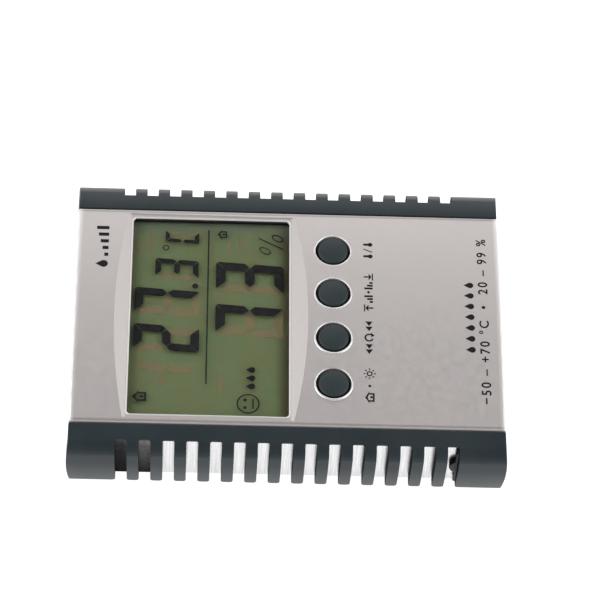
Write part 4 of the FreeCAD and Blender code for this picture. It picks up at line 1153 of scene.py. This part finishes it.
def dress_screws(node, name, head_width, head_height, shank):
    """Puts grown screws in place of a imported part's. The sizes are in mm."""
    lo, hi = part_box(node)
    inputs = {"Head Width": head_width * MM, "Head Height": head_height * MM, "Shank Width": shank * MM,
              "Length": hi.z - lo.z - head_height * MM, "Material": finishes["screw_steel"]}
    seeds = bpy.data.meshes.new(name)
    seeds.from_pydata(screw_places(node), [], [])
    piece = grow(screw_tree(inputs), name, seeds, inputs)
    link(piece, "case")
    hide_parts(node)
    print(name, len(piece.data.polygons), "faces")


dress_screws("case_screws", "back_screws", 4.6, 1.1, 2.0)
dress_screws("board_screws", "inner_screws", 3.4, 1.3, 1.6)

# %% [markdown]
# ## Lips of the button holes
# Each button sits in a hole with a low raised lip. It is steep inside and falls away gently outside, so it
# shows as a bright crescent on the far side only. Its coat is a much paler copy of the silver, a painted
# highlight that adds to that crescent. A four-cornered section is swept round a circle to make a closed ring,
# and the tree sets one on the face round every button. The section's second axis points down.

# %% Button hole lips
def lip_tree(inputs):
    add, times, _, close, given = node_tree("hole_lips", inputs)
    path = add("GeometryNodeCurvePrimitiveCircle", {"Radius": given["Hole"], "Resolution": 72})
    lifted, sunk = times(given["Rise"], -1.0), times(given["Rise"], 2.0)
    corners = {}
    places = ((0.0, lifted), (given["Slope"], 0.0), (given["Slope"], sunk), (0.0, sunk))
    for i, (x, y) in enumerate(places):
        corners[f"Point {i + 1}"] = add("ShaderNodeCombineXYZ", {"X": x, "Y": y}).outputs[0]
    section = add("GeometryNodeCurvePrimitiveQuadrilateral", corners, mode="POINTS")
    one = add("GeometryNodeCurveToMesh", {"Curve": path.outputs[0], "Profile Curve": section.outputs[0]})
    many = add("GeometryNodeInstanceOnPoints", {"Points": given["Geometry"], "Instance": one.outputs[0]})
    return close(many.outputs[0])


# A much paler, glossier copy of the silver: a painted highlight on the lips.
lip_highlight_paint = silver_paint("lip_highlight_paint", (0.86, 0.85, 0.84), (0.89, 0.87, 0.86), rough=(0.20, 0.26), metal=0.70)
BESIDE_HOLE = 5.4
lip_spots = []
for number in range(1, 5):
    lo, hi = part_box(f"button_{number}")
    middle = (lo + hi) / 2
    lip_spots.append((middle.x, middle.y, on_face(middle.x / MM, middle.y / MM - BESIDE_HOLE) * MM))
lip_inputs = {"Hole": 4.97 * MM, "Rise": 0.17 * MM, "Slope": 0.50 * MM, "Material": lip_highlight_paint}
lip_seeds = bpy.data.meshes.new("lip_seeds")
lip_seeds.from_pydata(lip_spots, [], [])
hole_lips = grow(lip_tree(lip_inputs), "hole_lips", lip_seeds, lip_inputs)
form = bmesh.new()
form.from_mesh(hole_lips.data)
bmesh.ops.recalc_face_normals(form, faces=form.faces)
form.to_mesh(hole_lips.data)
form.free()
link(hole_lips, "case")
print("the lips have", len(hole_lips.data.polygons), "faces")

# %% [markdown]
# ## Floor and light
# A pale table is lit by five soft boxes: a large one on the left and on the right, one behind, and a small
# one at each rear corner. A bright surround that is darker overhead gives the crowned face its slow change
# from light to dark. The table glows like a light table, so the shadow under the object stays faint. From
# below it lets the camera look through, so that the back can be inspected.

# %% Table
def table_top():
    """A pale matt top that glows, and is clear from below."""
    mat, shader = start_material("table_top", Roughness=0.6, Emission_Color=colour(1, 1, 1),
                                 Emission_Strength=0.95)
    clouds = noise(mat, 180.0, detail=2)
    join(mat, ramp(mat, clouds, [(0.3, colour(0.34, 0.34, 0.34)), (0.7, colour(0.36, 0.36, 0.36))]),
         shader.inputs["Base Color"])
    clear = wire(mat, "BsdfTransparent")
    behind = wire(mat, "NewGeometry").outputs["Backfacing"]
    sides = wire(mat, "MixShader", {0: behind, 1: shader.outputs[0], 2: clear.outputs[0]})
    join(mat, sides.outputs[0], mat.node_tree.nodes["Material Output"].inputs["Surface"])
    return mat


floor_mesh = bpy.data.meshes.new("table")
floor_mesh.from_pydata([(-3, -3, 0), (3, -3, 0), (3, 3, 0), (-3, 3, 0)], [], [(0, 1, 2, 3)])
floor_mesh.transform(Matrix.Translation((0, 0, -0.00003)))
floor_mesh.materials.append(table_top())
floor = bpy.data.objects.new("table", floor_mesh)
bpy.context.collection.objects.link(floor)
print("table", floor.dimensions.x, "m wide")

# %% Lamps and surround
def soft_box(name, place, size, watts):
    """A square lamp that looks at the object. The size is in metres."""
    lamp = bpy.data.lights.new(name, "AREA")
    lamp.shape, lamp.size, lamp.energy = "SQUARE", size, watts
    obj = bpy.data.objects.new(name, lamp)
    bpy.context.collection.objects.link(obj)
    aim(obj, Vector(place), Vector((0, 0, 0.01)) - Vector(place))


soft_box("left", (-0.10, 0.85, 0.62), 1.15, 7.1)
soft_box("right", (-0.10, -0.85, 0.62), 1.15, 7.1)
soft_box("behind", (0.95, 0.0, 0.50), 0.80, 2.1)
soft_box("behind_left", (0.62, 0.72, 0.64), 0.34, 0.65)
soft_box("behind_right", (0.62, -0.72, 0.64), 0.34, 0.36)

world = bpy.data.worlds.new("surround")
bpy.context.scene.world = world
world.use_nodes = True
sky = world.node_tree
direction = sky.nodes.new("ShaderNodeTexCoord").outputs["Generated"]
height = sky.nodes.new("ShaderNodeSeparateXYZ")
sky.links.new(direction, height.inputs[0])
shade = sky.nodes.new("ShaderNodeValToRGB")
sky.links.new(height.outputs["Z"], shade.inputs["Fac"])
for position, level in ((0.03, 0.74), (0.35, 0.54), (0.75, 0.30)):
    shade.color_ramp.elements.new(position).color = colour(level, level, level)
shade.color_ramp.elements[0].color = colour(1.0, 1.0, 1.0)
shade.color_ramp.elements[-1].color = colour(0.09, 0.09, 0.092)
sky.links.new(shade.outputs["Color"], sky.nodes["Background"].inputs["Color"])
sky.nodes["Background"].inputs["Strength"].default_value = 1.17
bpy.context.scene.view_settings.view_transform = "Standard"
print("five soft boxes and a surround")

# %% [markdown]
